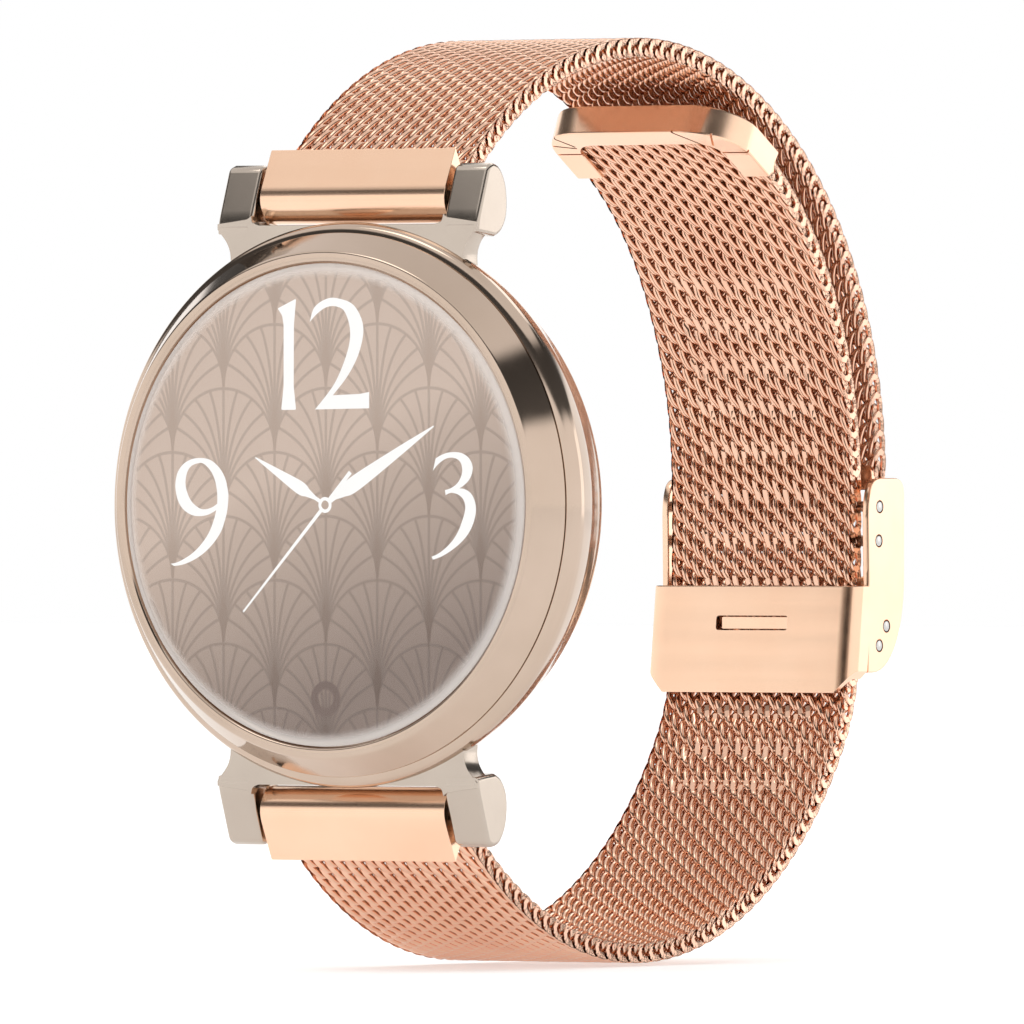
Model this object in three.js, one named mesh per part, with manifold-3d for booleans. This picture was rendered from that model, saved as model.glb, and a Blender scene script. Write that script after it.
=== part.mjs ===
// A round smartwatch on a woven metal strap, as an assembly of separate pieces.
// Millimetres. The origin is the centre of the flat window in the case back.
// -Y is the dial side, +Y points into the wrist, +Z is 12 o'clock and +X is 3 o'clock.

import * as THREE from 'three';
import { mergeVertices } from 'three/addons/utils/BufferGeometryUtils.js';
import Module from 'manifold-3d';

const wasm = await Module();
wasm.setup();

// Case
const CASE_THICKNESS = 10.1;
const CASE_RADIUS = 17.7;
const CASE_WALL = 1.5;
const FLANGE_THICKNESS = 0.7;
const FRONT_FLANGE_WIDTH = 2;
const CASE_FRONT_DEPTH = 2.2;
const CASE_BACK_DEPTH = 1.0;
const CASE_RIM_BEVEL = 0.25;
const CASE_RIM_DEPTH = 0.8;
const CASE_RIM_WIDTH = 0.7;
const CASE_TAPER = 1.4;
const STACK_GAP = 0.05;
const SIDE_GAP = 0.1;

// Bezel and lens
const BEZEL_STEP = 0.7;
const BEZEL_SLOPE_WIDTH = 1.1;
const LENS_THICKNESS = 1.2;
const LENS_DOME = 0.4;
const BEZEL_TOP_WIDTH = 0.7;
const BEZEL_HEIGHT = 1.9;
const BEZEL_LEDGE_WIDTH = 1.5;
const GASKET_THICKNESS = 0.2;
const GASKET_WIDTH = 1.2;

// Inside the case
const DISPLAY_THICKNESS = 0.75;
const BRACKET_THICKNESS = 0.6;
const BOARD_THICKNESS = 0.8;
const BOARD_SPACING = 0.3;
const CHIP_HEIGHT = 0.2;
const MOTOR_RADIUS = 4.1;
const BATTERY_SIDE_ROOM = 1.4;
const SENSOR_BOARD_THICKNESS = 0.6;

// Case back
const BACK_SHOULDER_WIDTH = 3.3;
const BACK_FLANGE_WIDTH = 3.2;
const BACK_LIP_DEPTH = 0.9;
const BACK_COVER_THICKNESS = 0.65;
const SEAL_THICKNESS = 0.2;
const SEAL_WIDTH = 1.0;
const WINDOW_RADIUS = 7.5;
const WINDOW_LEDGE = 0.8;
const WINDOW_EDGE = 0.5;
const WINDOW_THICKNESS = 1.15;
const WINDOW_LEDGE_THICKNESS = 0.4;
const SCREW_RADIUS = 0.5;
const SCREW_HEAD_RADIUS = 0.9;
const SCREW_HEAD_HEIGHT = 0.3;
const CONTACT_RADIUS = 0.55;
const CONTACT_PITCH = 1.8;

// Strap width, which the lugs, end links, cap and clasp follow
const STRAP_WIDTH = 14;
const LINK_SIDE_GAP = 0.3;

// Lugs and the brackets that join them to the case
const LUG_WIDTH = 2.6;
const BAR_DEPTH = 2.8;
const BAR_OUTSIDE_CASE = 1.5;
const BRACKET_SET_BACK = 0.65;
const BRACKET_DEPTH = 1.55;
const BRACKET_STEP = 0.25;
const BRACKET_NECK_HEIGHT = 1.85;
const BRACKET_NECK_INSET = 1;

// Quick-release spring bar
const PIN_RADIUS = 0.4;
const PIN_CLEARANCE = 0.06;
const PIN_IN_LUG = 1.0;
const RELEASE_TRAVEL = 1.3;
const BAR_TUBE_RADIUS = 0.8;
const BAR_TUBE_BORE = 0.52;
const SPRING_WIRE_RADIUS = 0.07;
const SPRING_TURNS = 5;
const LEVER_RADIUS = 0.35;
const LEVER_LENGTH = 2.0;

// Strap end links
const LINK_TUBE_RADIUS = 1.35;
const LINK_PLATE_LENGTH = 3.4;
const LINK_BACK_WALL = 0.22;
const LINK_LEAN = THREE.MathUtils.degToRad(25);

// Woven strap. Centres and heights are in the Y-Z plane.
const BAND_THICKNESS = 1.25;
const BAND_GAP = 0.1;
const TOP_CENTRE_FROM_BAR = 21.1;
const TOP_CENTRE_Z = 1.5;
const TOP_START_FROM_BAR = new THREE.Vector2(1.32, 1.4);
const BOTTOM_CENTRE_FROM_BAR = 20.6;
const BOTTOM_CENTRE_Z = -1.5;
const BOTTOM_START_FROM_BAR = new THREE.Vector2(1.25, 0.99);
const TOP_END_Z = 2.2;
const LAYER_GAP = 2.15;
const CROSSOVER_START_Z = -15;
const CROSSOVER_HANDLE = 5.6;
const TAIL_START_Z = 2.3;
const TAIL_HANDLE = 6;
const TAIL_END_ANGLE = 66;
const FIRST_NOTCH_FROM_TIP = 14.4;
const NOTCH_COUNT = 13;
const NOTCH_PITCH = 2.85;
const NOTCH_WIDTH = 9;
const NOTCH_LENGTH = 1.2;
const NOTCH_DEPTH = 0.18;

// Tip cap
const CAP_SIDE_WALL = 0.4;
const CAP_LENGTH = 6;
const CAP_SHEET = 0.25;
const CAP_LIP = 2;
const CAP_OVERHANG = 0.6;
const CAP_CORNER = 3;

// Clasp. The pins' and walls' Y is counted outwards from the outer face of the tail.
const CLASP_SIDE_GAP = 0.5;
const CLASP_SHEET = 0.5;
const CLASP_PLATE_TOP_Z = -5.2;
const CLASP_PLATE_BOTTOM_Z = -12.1;
const CLASP_PLATE_GAP = 0.375;
const CLASP_PLATE_SLOPE = 0.8;
const CLASP_PLATE_CHAMFER = 1.3;
const CLASP_SLOT_WIDTH = 5.5;
const CLASP_SLOT_HEIGHT = 0.95;
const CLASP_PIN_RADIUS = 0.375;
const CLASP_PIN_CLEARANCE = 0.05;
const HOOK_PIN_PLACE = new THREE.Vector2(0.975, -0.1);
const STOP_PIN_PLACE = new THREE.Vector2(0.875, -2.3);
const LID_PIN_PLACE = new THREE.Vector2(1.775, -7.8);
const GUIDE_PIN_PLACE = new THREE.Vector2(0.925, -9.05);
const CLASP_WALL_DEPTH = 3.675;
const CLASP_WALL_TOP_Z = 1.75;
const CLASP_WALL_BOTTOM_Z = -10.8;
const LID_SIDE_GAP = 0.3;
const LID_THICKNESS = 0.6;
const LID_RECESS = 0.3;
const LID_TOP_Z = -4.6;
const LID_KNUCKLE_RADIUS = 0.95;
const LID_FINGER_LIP = 0.35;

// Hook at the end of the top strap
const HOOK_BLOCK_WALL = 0.3;
const HOOK_BLOCK_LENGTH = 3.2;
const HOOK_WIDTH = 9;
const HOOK_PLATE_THICKNESS = 0.45;
const HOOK_PIN_GAP = 0.25;
const HOOK_LIP = 0.2;

const LARGE_SEGMENTS = 64;
const MEDIUM_SEGMENTS = 40;
const SMALL_SEGMENTS = 16;

// Levels along Y that the stack of pieces shares
const caseFrontY = -CASE_THICKNESS + CASE_FRONT_DEPTH;
const caseBackY = -CASE_BACK_DEPTH;
const cavityRadius = CASE_RADIUS - CASE_WALL;
const cavityFrontY = caseFrontY + FLANGE_THICKNESS;
const flangeShelfY = caseBackY - BACK_LIP_DEPTH;
const cavityBackY = flangeShelfY - FLANGE_THICKNESS;
const bezelBackY = caseFrontY - STACK_GAP;
const bezelFrontY = bezelBackY - BEZEL_HEIGHT;
const lensFrontY = -CASE_THICKNESS;
const lensBackY = lensFrontY + LENS_THICKNESS;
const gasketFrontY = lensBackY + STACK_GAP;
const gasketBackY = gasketFrontY + GASKET_THICKNESS;
const ledgeFrontY = gasketBackY + STACK_GAP;
const bezelRadius = CASE_RADIUS - BEZEL_STEP;
const bezelBoreRadius = bezelRadius - BEZEL_SLOPE_WIDTH - BEZEL_TOP_WIDTH;
const lensRadius = bezelBoreRadius - SIDE_GAP;
const ledgeRadius = bezelBoreRadius - BEZEL_LEDGE_WIDTH;

// Radii and places that follow from the case and the strap width
const frontFlangeRadius = cavityRadius - FRONT_FLANGE_WIDTH;
const backLipRadius = CASE_RADIUS - BACK_SHOULDER_WIDTH;
const backFlangeRadius = backLipRadius - BACK_FLANGE_WIDTH;
const screwCircleRadius = backFlangeRadius + SCREW_HEAD_RADIUS + SIDE_GAP;
const halfLugGap = STRAP_WIDTH / 2 + LINK_SIDE_GAP;
const lugOuterX = halfLugGap + LUG_WIDTH;
const barY = caseFrontY + BAR_DEPTH;
const barZ = CASE_RADIUS + BAR_OUTSIDE_CASE;
const bracketFrontY = caseFrontY + BRACKET_SET_BACK;
const bracketTopZ = CASE_RADIUS - BRACKET_STEP;
const bracketNeckZ = bracketTopZ - BRACKET_NECK_HEIGHT;
const bracketNeckX = lugOuterX - BRACKET_NECK_INSET;

// Strap route, from the bars round the loop
const topCentre = new THREE.Vector2(barY + TOP_CENTRE_FROM_BAR, TOP_CENTRE_Z);
const bottomCentre = new THREE.Vector2(barY + BOTTOM_CENTRE_FROM_BAR, BOTTOM_CENTRE_Z);
const topStart = TOP_START_FROM_BAR.clone().add(new THREE.Vector2(barY, barZ));
const bottomStart = new THREE.Vector2(BOTTOM_START_FROM_BAR.x, -BOTTOM_START_FROM_BAR.y);
bottomStart.add(new THREE.Vector2(barY, -barZ));
const topRadius = topStart.distanceTo(topCentre);
const bottomRadius = bottomStart.distanceTo(bottomCentre);
const tailRadius = topRadius - BAND_THICKNESS - LAYER_GAP;

const capWidth = STRAP_WIDTH + 2 * CAP_SIDE_WALL;
const capThickness = BAND_THICKNESS + 2 * (BAND_GAP + CAP_SHEET);
const hookBlockThickness = BAND_THICKNESS + 2 * (BAND_GAP + HOOK_BLOCK_WALL);

// Clasp places, from the middle of the tail
const tailY = topCentre.x + tailRadius;
const claspWidth = STRAP_WIDTH + 2 * (CLASP_SIDE_GAP + CLASP_SHEET);
const tailOuterY = tailY + BAND_THICKNESS / 2;
const tailInnerY = tailY - BAND_THICKNESS / 2;
const plateTop = new THREE.Vector2(tailInnerY - CLASP_PLATE_GAP, CLASP_PLATE_TOP_Z);
const plateBottom = new THREE.Vector2(plateTop.x - CLASP_PLATE_SLOPE, CLASP_PLATE_BOTTOM_Z);
const fromTail = (place) => new THREE.Vector2(tailOuterY + place.x, place.y);
const hookPin = fromTail(HOOK_PIN_PLACE);
const stopPin = fromTail(STOP_PIN_PLACE);
const lidPin = fromTail(LID_PIN_PLACE);
const guidePin = fromTail(GUIDE_PIN_PLACE);
const claspWallOuterY = tailOuterY + CLASP_WALL_DEPTH;

// Solids: conversion between three.js geometry and manifold-3d

function closedGeometry(geometry) {
  geometry.deleteAttribute('normal');
  geometry.deleteAttribute('uv');
  return mergeVertices(geometry, 1e-5);
}

function solid(geometry) {
  const merged = closedGeometry(geometry);
  const vertProperties = new Float32Array(merged.attributes.position.array);
  const triVerts = new Uint32Array(merged.index.array);
  return new wasm.Manifold(new wasm.Mesh({ numProp: 3, vertProperties, triVerts }));
}

function geometryOf(manifold) {
  const mesh = manifold.getMesh();
  const geometry = new THREE.BufferGeometry();
  geometry.setAttribute('position', new THREE.BufferAttribute(mesh.vertProperties, 3));
  geometry.setIndex(new THREE.BufferAttribute(mesh.triVerts, 1));
  return geometry;
}

function union(parts) {
  return parts.reduce((joined, part) => joined.add(part));
}

function cut(base, tools) {
  return tools.reduce((rest, tool) => rest.subtract(tool), base);
}

// Basic forms. A side outline is a THREE.Shape whose x is Y and whose y is Z.

function extrudeAlongX(outline, xLow, xHigh) {
  const geometry = new THREE.ExtrudeGeometry(outline, {
    depth: xHigh - xLow,
    bevelEnabled: false,
    curveSegments: 6,
  });
  const basis = new THREE.Matrix4().makeBasis(
    new THREE.Vector3(0, 1, 0),
    new THREE.Vector3(0, 0, 1),
    new THREE.Vector3(1, 0, 0),
  );
  geometry.applyMatrix4(basis);
  geometry.translate(xLow, 0, 0);
  return solid(geometry);
}

// A front outline's x is X and its y is Z.
function extrudeAlongY(outline, yLow, yHigh) {
  const geometry = new THREE.ExtrudeGeometry(outline, {
    depth: yHigh - yLow,
    bevelEnabled: false,
    curveSegments: 8,
  });
  geometry.rotateX(Math.PI / 2);
  geometry.translate(0, yHigh, 0);
  return solid(geometry);
}

// A closed profile of [radius, y] pairs, turned about the Y axis.
function turned(profile, segments = LARGE_SEGMENTS) {
  const points = profile.map(([radius, y]) => new THREE.Vector2(radius, y));
  if (profile[0][0] > 0) {
    points.push(points[0].clone());
  }
  const area = THREE.ShapeUtils.area(points);
  if (area < 0) {
    points.reverse();
  }
  return solid(new THREE.LatheGeometry(points, segments));
}

function barAlongX(radius, xLow, xHigh, centre, segments = SMALL_SEGMENTS) {
  const geometry = new THREE.CylinderGeometry(radius, radius, xHigh - xLow, segments);
  geometry.rotateZ(Math.PI / 2);
  geometry.translate((xLow + xHigh) / 2, centre.x, centre.y);
  return solid(geometry);
}

function barAlongY(radius, yLow, yHigh, x, z, segments = SMALL_SEGMENTS) {
  const geometry = new THREE.CylinderGeometry(radius, radius, yHigh - yLow, segments);
  geometry.translate(x, (yLow + yHigh) / 2, z);
  return solid(geometry);
}

function polygonSide(points) {
  return new THREE.Shape(points.map((point) => point.clone()));
}

function rectangle(centreX, centreY, width, height) {
  const shape = new THREE.Shape();
  shape.moveTo(centreX - width / 2, centreY - height / 2);
  shape.lineTo(centreX + width / 2, centreY - height / 2);
  shape.lineTo(centreX + width / 2, centreY + height / 2);
  shape.lineTo(centreX - width / 2, centreY + height / 2);
  return shape;
}

// Materials

function metal(color, roughness) {
  return new THREE.MeshStandardMaterial({ color, roughness, metalness: 1 });
}

function plain(color, roughness) {
  return new THREE.MeshStandardMaterial({ color, roughness, metalness: 0 });
}

const champagne = metal(0xc9b8a6, 0.25);
const darkChampagne = metal(0x9a8f83, 0.3);
const roseGold = metal(0xe5b694, 0.25);
const roseMesh = metal(0xd09a76, 0.35);
const steel = metal(0xc4c4c6, 0.3);
const gold = metal(0xd8b76a, 0.3);
const board = plain(0x1d4d34, 0.6);
const black = plain(0x15151a, 0.5);
const dial = plain(0xb9a698, 0.4);
const clearGlass = new THREE.MeshStandardMaterial({
  color: 0xe6e2de,
  roughness: 0.05,
  transparent: true,
  opacity: 0.35,
});

const watch = new THREE.Group();

function addPiece(group, name, manifold, material) {
  const mesh = new THREE.Mesh(geometryOf(manifold), material);
  mesh.name = name;
  group.add(mesh);
}

// Case body: a turned ring with a flange at each end, two brackets and four lugs

function caseRing() {
  const rimFrontY = caseFrontY + CASE_RIM_DEPTH;
  const sideFrontY = rimFrontY + CASE_RIM_WIDTH;
  const sideBackY = caseBackY - 1;
  return turned([
    [frontFlangeRadius, caseFrontY],
    [bezelRadius, caseFrontY],
    [CASE_RADIUS - CASE_RIM_BEVEL, caseFrontY + CASE_RIM_BEVEL],
    [CASE_RADIUS, rimFrontY],
    [CASE_RADIUS, sideFrontY],
    [CASE_RADIUS - CASE_TAPER * 0.15, THREE.MathUtils.lerp(sideFrontY, sideBackY, 0.3)],
    [CASE_RADIUS - CASE_TAPER / 2, THREE.MathUtils.lerp(sideFrontY, sideBackY, 0.7)],
    [CASE_RADIUS - CASE_TAPER, sideBackY],
    [backLipRadius + 1, caseBackY],
    [backLipRadius, caseBackY],
    [backLipRadius, flangeShelfY],
    [backFlangeRadius, flangeShelfY],
    [backFlangeRadius, cavityBackY],
    [cavityRadius, cavityBackY],
    [cavityRadius, cavityFrontY],
    [frontFlangeRadius, cavityFrontY],
  ]);
}

function bracketOutline(side) {
  const base = Math.sqrt(CASE_RADIUS ** 2 - bracketNeckX ** 2) - 1.5;
  const flareZ = bracketTopZ - 0.2;
  const outline = new THREE.Shape();
  outline.moveTo(-bracketNeckX, side * base);
  outline.lineTo(-bracketNeckX, side * bracketNeckZ);
  outline.quadraticCurveTo(-bracketNeckX, side * (flareZ - 0.6), -lugOuterX, side * flareZ);
  outline.lineTo(-lugOuterX, side * (bracketTopZ + 0.4));
  outline.lineTo(-halfLugGap, side * (bracketTopZ + 0.4));
  outline.lineTo(-halfLugGap + 0.4, side * bracketTopZ);
  outline.lineTo(halfLugGap - 0.4, side * bracketTopZ);
  outline.lineTo(halfLugGap, side * (bracketTopZ + 0.4));
  outline.lineTo(lugOuterX, side * (bracketTopZ + 0.4));
  outline.lineTo(lugOuterX, side * flareZ);
  outline.quadraticCurveTo(bracketNeckX, side * (flareZ - 0.6), bracketNeckX, side * bracketNeckZ);
  outline.lineTo(bracketNeckX, side * base);
  return outline;
}

// A lug seen from the side: a leaning flat front and a round back.
function lugOutline(side) {
  const y = (offset) => barY + offset;
  const z = (offset) => side * (barZ + offset);
  const outline = new THREE.Shape();
  outline.moveTo(y(-1.9), z(-1.9));
  outline.lineTo(y(-0.85), z(1.6));
  outline.bezierCurveTo(y(-0.3), z(2.3), y(1.2), z(1.4), y(1.25), z(-0.2));
  outline.bezierCurveTo(y(1.3), z(-1.4), y(0.5), z(-2.3), y(-0.3), z(-2.5));
  return outline;
}

function caseBody() {
  const cavity = barAlongY(cavityRadius + 0.2, cavityFrontY - 1, cavityBackY, 0, 0, LARGE_SEGMENTS);
  const parts = [caseRing()];
  const tools = [];
  for (const side of [1, -1]) {
    const bar = new THREE.Vector2(barY, side * barZ);
    const plate = extrudeAlongY(bracketOutline(side), bracketFrontY, bracketFrontY + BRACKET_DEPTH);
    parts.push(plate.subtract(cavity));
    parts.push(extrudeAlongX(lugOutline(side), -lugOuterX, -halfLugGap));
    parts.push(extrudeAlongX(lugOutline(side), halfLugGap, lugOuterX));
    const reach = halfLugGap + PIN_IN_LUG + 0.3;
    tools.push(barAlongX(PIN_RADIUS + PIN_CLEARANCE, -reach, reach, bar));
  }
  for (const [x, z] of screwPlaces()) {
    tools.push(barAlongY(SCREW_RADIUS + SIDE_GAP, cavityBackY - 1, caseBackY + 1, x, z));
  }
  return cut(union(parts), tools);
}

// Bezel, lens and display

function bezelRing() {
  const slopeTopRadius = bezelBoreRadius + BEZEL_TOP_WIDTH;
  return turned([
    [ledgeRadius, bezelBackY],
    [bezelRadius, bezelBackY],
    [bezelRadius + 0.05, bezelBackY - 0.1],
    [slopeTopRadius + 0.05, bezelFrontY + 0.2],
    [slopeTopRadius - 0.2, bezelFrontY],
    [bezelBoreRadius + 0.1, bezelFrontY],
    [bezelBoreRadius, bezelFrontY + 0.1],
    [bezelBoreRadius, ledgeFrontY],
    [ledgeRadius, ledgeFrontY],
  ]);
}

function lens() {
  return turned([
    [0, lensBackY],
    [lensRadius, lensBackY],
    [lensRadius, lensFrontY + LENS_DOME],
    [lensRadius - 0.5, lensFrontY + LENS_DOME / 2.5],
    [lensRadius - 1.3, lensFrontY],
    [0, lensFrontY],
  ]);
}

function ring(innerRadius, outerRadius, yLow, yHigh) {
  return turned(
    [
      [innerRadius, yLow],
      [outerRadius, yLow],
      [outerRadius, yHigh],
      [innerRadius, yHigh],
    ],
    MEDIUM_SEGMENTS,
  );
}

function disc(radius, yLow, yHigh, x = 0, z = 0) {
  return barAlongY(radius, yLow, yHigh, x, z, MEDIUM_SEGMENTS);
}

function mainBoard(frontY) {
  const backY = frontY + BOARD_THICKNESS;
  const chips = [
    rectangle(0, 7, 6, 5),
    rectangle(-7, -6, 4, 4),
    rectangle(5, -7, 5, 3.5),
  ];
  const parts = [disc(cavityRadius - BOARD_SPACING, frontY, backY)];
  for (const chip of chips) {
    parts.push(extrudeAlongY(chip, frontY - CHIP_HEIGHT, frontY + CHIP_HEIGHT));
  }
  return union(parts);
}

// Case back

const coverBackY = caseBackY + STACK_GAP;
const coverFrontY = coverBackY - BACK_COVER_THICKNESS;
const sealFrontY = flangeShelfY + STACK_GAP;

function screwPlaces() {
  const places = [];
  for (let i = 0; i < 4; i += 1) {
    const angle = Math.PI / 4 + (i * Math.PI) / 2;
    places.push([screwCircleRadius * Math.cos(angle), screwCircleRadius * Math.sin(angle)]);
  }
  return places;
}

function contactPlaces() {
  return [-1.5, -0.5, 0.5, 1.5].map((step) => [step * CONTACT_PITCH, -screwCircleRadius]);
}

function backCover() {
  const coverRadius = backLipRadius - SIDE_GAP;
  const bore = WINDOW_RADIUS + SIDE_GAP;
  const ledgeY = -WINDOW_THICKNESS - STACK_GAP;
  const base = turned([
    [bore - WINDOW_LEDGE, coverFrontY],
    [coverRadius, coverFrontY],
    [coverRadius, coverBackY],
    [screwCircleRadius - SCREW_HEAD_RADIUS - SIDE_GAP, coverBackY],
    [bore + 2, -0.45],
    [bore, -0.35],
    [bore, ledgeY],
    [bore - WINDOW_LEDGE, ledgeY],
  ]);
  const tools = [];
  for (const [x, z] of screwPlaces()) {
    tools.push(barAlongY(SCREW_RADIUS + SIDE_GAP, coverFrontY - 1, 0, x, z));
    const seatY = coverBackY - SCREW_HEAD_HEIGHT - STACK_GAP;
    tools.push(barAlongY(SCREW_HEAD_RADIUS + SIDE_GAP, seatY, 0, x, z));
  }
  for (const [x, z] of contactPlaces()) {
    tools.push(barAlongY(CONTACT_RADIUS + STACK_GAP, coverFrontY - 1, 0, x, z));
  }
  return cut(base, tools);
}

function sensorWindow() {
  return turned([
    [0, -WINDOW_THICKNESS],
    [WINDOW_RADIUS, -WINDOW_THICKNESS],
    [WINDOW_RADIUS, -0.3],
    [WINDOW_RADIUS - WINDOW_EDGE, 0],
    [0, 0],
  ]);
}

function backScrew(x, z) {
  const headFrontY = coverBackY - SCREW_HEAD_HEIGHT;
  const head = barAlongY(SCREW_HEAD_RADIUS, headFrontY, coverBackY, x, z);
  const shank = barAlongY(SCREW_RADIUS, cavityBackY + STACK_GAP, headFrontY + STACK_GAP, x, z);
  const slot = extrudeAlongY(rectangle(x, z, 1.4, 0.3), coverBackY - 0.15, coverBackY + 1);
  return head.add(shank).subtract(slot);
}

// The bracket and main board stack back from the front flange. The sensor board lies in the
// back flange, and the battery and the motor share the space between.
function addInnerStack(head) {
  const frameFrontY = cavityFrontY + SIDE_GAP;
  const frameBackY = frameFrontY + BRACKET_THICKNESS;
  const boardRadius = cavityRadius - BOARD_SPACING;
  const frameRing = ring(boardRadius / 2, boardRadius, frameFrontY, frameBackY);
  addPiece(head, 'display_bracket', frameRing, steel);
  const boardFrontY = frameBackY + BOARD_SPACING;
  addPiece(head, 'main_board', mainBoard(boardFrontY), board);
  const sensorBackY = -WINDOW_THICKNESS - STACK_GAP - WINDOW_LEDGE_THICKNESS - STACK_GAP;
  const sensorFrontY = sensorBackY - SENSOR_BOARD_THICKNESS;
  const sensorRadius = backFlangeRadius - BOARD_SPACING;
  addPiece(head, 'sensor_board', disc(sensorRadius, sensorFrontY, sensorBackY), board);
  const cellFrontY = boardFrontY + BOARD_THICKNESS + BOARD_SPACING;
  const cellBackY = Math.min(sensorFrontY, cavityBackY) - BOARD_SPACING;
  const motorX = boardRadius - MOTOR_RADIUS;
  const batteryRadius = boardRadius - MOTOR_RADIUS - BOARD_SPACING / 2 - BATTERY_SIDE_ROOM;
  const batteryX = motorX - MOTOR_RADIUS - BOARD_SPACING - batteryRadius;
  addPiece(head, 'battery', disc(batteryRadius, cellFrontY, cellBackY, batteryX), steel);
  addPiece(head, 'haptic_motor', disc(MOTOR_RADIUS, cellFrontY, cellBackY, motorX), steel);
}

function addCase() {
  const head = new THREE.Group();
  addPiece(head, 'case_body', caseBody(), champagne);
  addPiece(head, 'bezel_ring', bezelRing(), champagne);
  addPiece(head, 'lens', lens(), clearGlass);
  const gasketOuter = bezelBoreRadius - SIDE_GAP;
  addPiece(
    head,
    'lens_gasket',
    ring(gasketOuter - GASKET_WIDTH, gasketOuter, gasketFrontY, gasketBackY),
    black,
  );
  const displayRadius = ledgeRadius - SIDE_GAP;
  const displayFrontY = lensBackY + STACK_GAP;
  const displayBackY = displayFrontY + DISPLAY_THICKNESS;
  addPiece(head, 'display_panel', disc(displayRadius, displayFrontY, displayBackY), dial);

  addInnerStack(head);

  const sealOuter = backLipRadius - SIDE_GAP;
  addPiece(
    head,
    'back_seal',
    ring(sealOuter - SEAL_WIDTH, sealOuter, sealFrontY, sealFrontY + SEAL_THICKNESS - STACK_GAP),
    black,
  );
  addPiece(head, 'back_cover', backCover(), darkChampagne);
  addPiece(head, 'sensor_window', sensorWindow(), black);
  screwPlaces().forEach(([x, z], index) => {
    addPiece(head, `back_screw_${index + 1}`, backScrew(x, z), steel);
  });
  contactPlaces().forEach(([x, z], index) => {
    const contact = barAlongY(CONTACT_RADIUS, coverFrontY, coverBackY, x, z);
    addPiece(head, `charge_contact_${index + 1}`, contact, gold);
  });
  watch.add(head);
}

// Strap routes: curves in the Y-Z plane

function topRoute(extraStart = 0, endZ = TOP_END_Z) {
  const route = new THREE.Path();
  const start = topStart.clone().sub(topCentre).angle() + extraStart / topRadius;
  const end = Math.asin((endZ - topCentre.y) / topRadius);
  route.absarc(topCentre.x, topCentre.y, topRadius, start, end, true);
  return route;
}

function onCircle(centre, radius, angle) {
  return new THREE.Vector2(Math.cos(angle), Math.sin(angle)).multiplyScalar(radius).add(centre);
}

function alongCircle(angle) {
  return new THREE.Vector2(-Math.sin(angle), Math.cos(angle));
}

// The bottom strap swings round, crosses inwards through the clasp and ends in the tail.
function bottomRoute(extraStart = 0, extraEnd = 0) {
  const route = new THREE.Path();
  const start = bottomStart.clone().sub(bottomCentre).angle() - 2 * Math.PI;
  const crossAngle = Math.asin((CROSSOVER_START_Z - bottomCentre.y) / bottomRadius);
  const tailAngle = Math.asin((TAIL_START_Z - topCentre.y) / tailRadius);
  const tailEnd = THREE.MathUtils.degToRad(TAIL_END_ANGLE) + extraEnd / tailRadius;
  const crossStart = onCircle(bottomCentre, bottomRadius, crossAngle);
  const tailStart = onCircle(topCentre, tailRadius, tailAngle);
  const handleOut = crossStart.clone().addScaledVector(alongCircle(crossAngle), CROSSOVER_HANDLE);
  const handleIn = tailStart.clone().addScaledVector(alongCircle(tailAngle), -TAIL_HANDLE);
  const from = start - extraStart / bottomRadius;
  route.absarc(bottomCentre.x, bottomCentre.y, bottomRadius, from, crossAngle, false);
  route.bezierCurveTo(handleOut.x, handleOut.y, handleIn.x, handleIn.y, tailStart.x, tailStart.y);
  route.absarc(topCentre.x, topCentre.y, tailRadius, tailAngle, tailEnd, false);
  return route;
}

function routeFrame(route, distance) {
  const share = Math.min(1, distance / route.getLength());
  const point = route.getPointAt(share);
  const along = route.getTangentAt(share);
  const outward = new THREE.Vector2(along.y, -along.x);
  return { point, along, outward };
}

// A strip of even thickness along part of a route.
function strip(route, from, to, thickness, width) {
  const steps = Math.max(6, Math.round((to - from) / 2.4));
  const outer = [];
  const inner = [];
  for (let i = 0; i <= steps; i += 1) {
    const { point, outward } = routeFrame(route, from + ((to - from) * i) / steps);
    outer.push(point.clone().addScaledVector(outward, thickness / 2));
    inner.push(point.clone().addScaledVector(outward, -thickness / 2));
  }
  return extrudeAlongX(polygonSide([...outer, ...inner.reverse()]), -width / 2, width / 2);
}

// A bar across a route, from one height above it to another.
function crossBar(route, centre, length, low, high, width) {
  const { point, along, outward } = routeFrame(route, centre);
  const corner = (forward, up) => {
    const place = point.clone().addScaledVector(along, (forward * length) / 2);
    return place.addScaledVector(outward, up);
  };
  const outline = polygonSide([corner(-1, low), corner(1, low), corner(1, high), corner(-1, high)]);
  return extrudeAlongX(outline, -width / 2, width / 2);
}

// End link: a tube round the spring bar and a folded plate that grips the woven strap

function linkAxes(side) {
  const along = new THREE.Vector2(Math.sin(LINK_LEAN), side * Math.cos(LINK_LEAN));
  const front = new THREE.Vector2(-Math.cos(LINK_LEAN), side * Math.sin(LINK_LEAN));
  return { along, front };
}

function linkPlate(side, bar, route) {
  const { along, front } = linkAxes(side);
  const bandOffset = route.getPoint(0).sub(bar).dot(front);
  const corner = (distance, offset) => {
    return bar.clone().addScaledVector(along, distance).addScaledVector(front, offset);
  };
  const back = bandOffset - BAND_THICKNESS / 2 - BAND_GAP - LINK_BACK_WALL;
  return polygonSide([
    corner(0, LINK_TUBE_RADIUS),
    corner(LINK_PLATE_LENGTH - 0.3, LINK_TUBE_RADIUS),
    corner(LINK_PLATE_LENGTH, LINK_TUBE_RADIUS - 0.3),
    corner(LINK_PLATE_LENGTH, back + 0.3),
    corner(LINK_PLATE_LENGTH - 0.3, back),
    corner(0.6, back),
    corner(-0.4, 0),
  ]);
}

function leverSlotWidth() {
  return 2 * LEVER_RADIUS + RELEASE_TRAVEL + 0.3;
}

const leverX = STRAP_WIDTH / 2 - 2.6;

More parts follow.
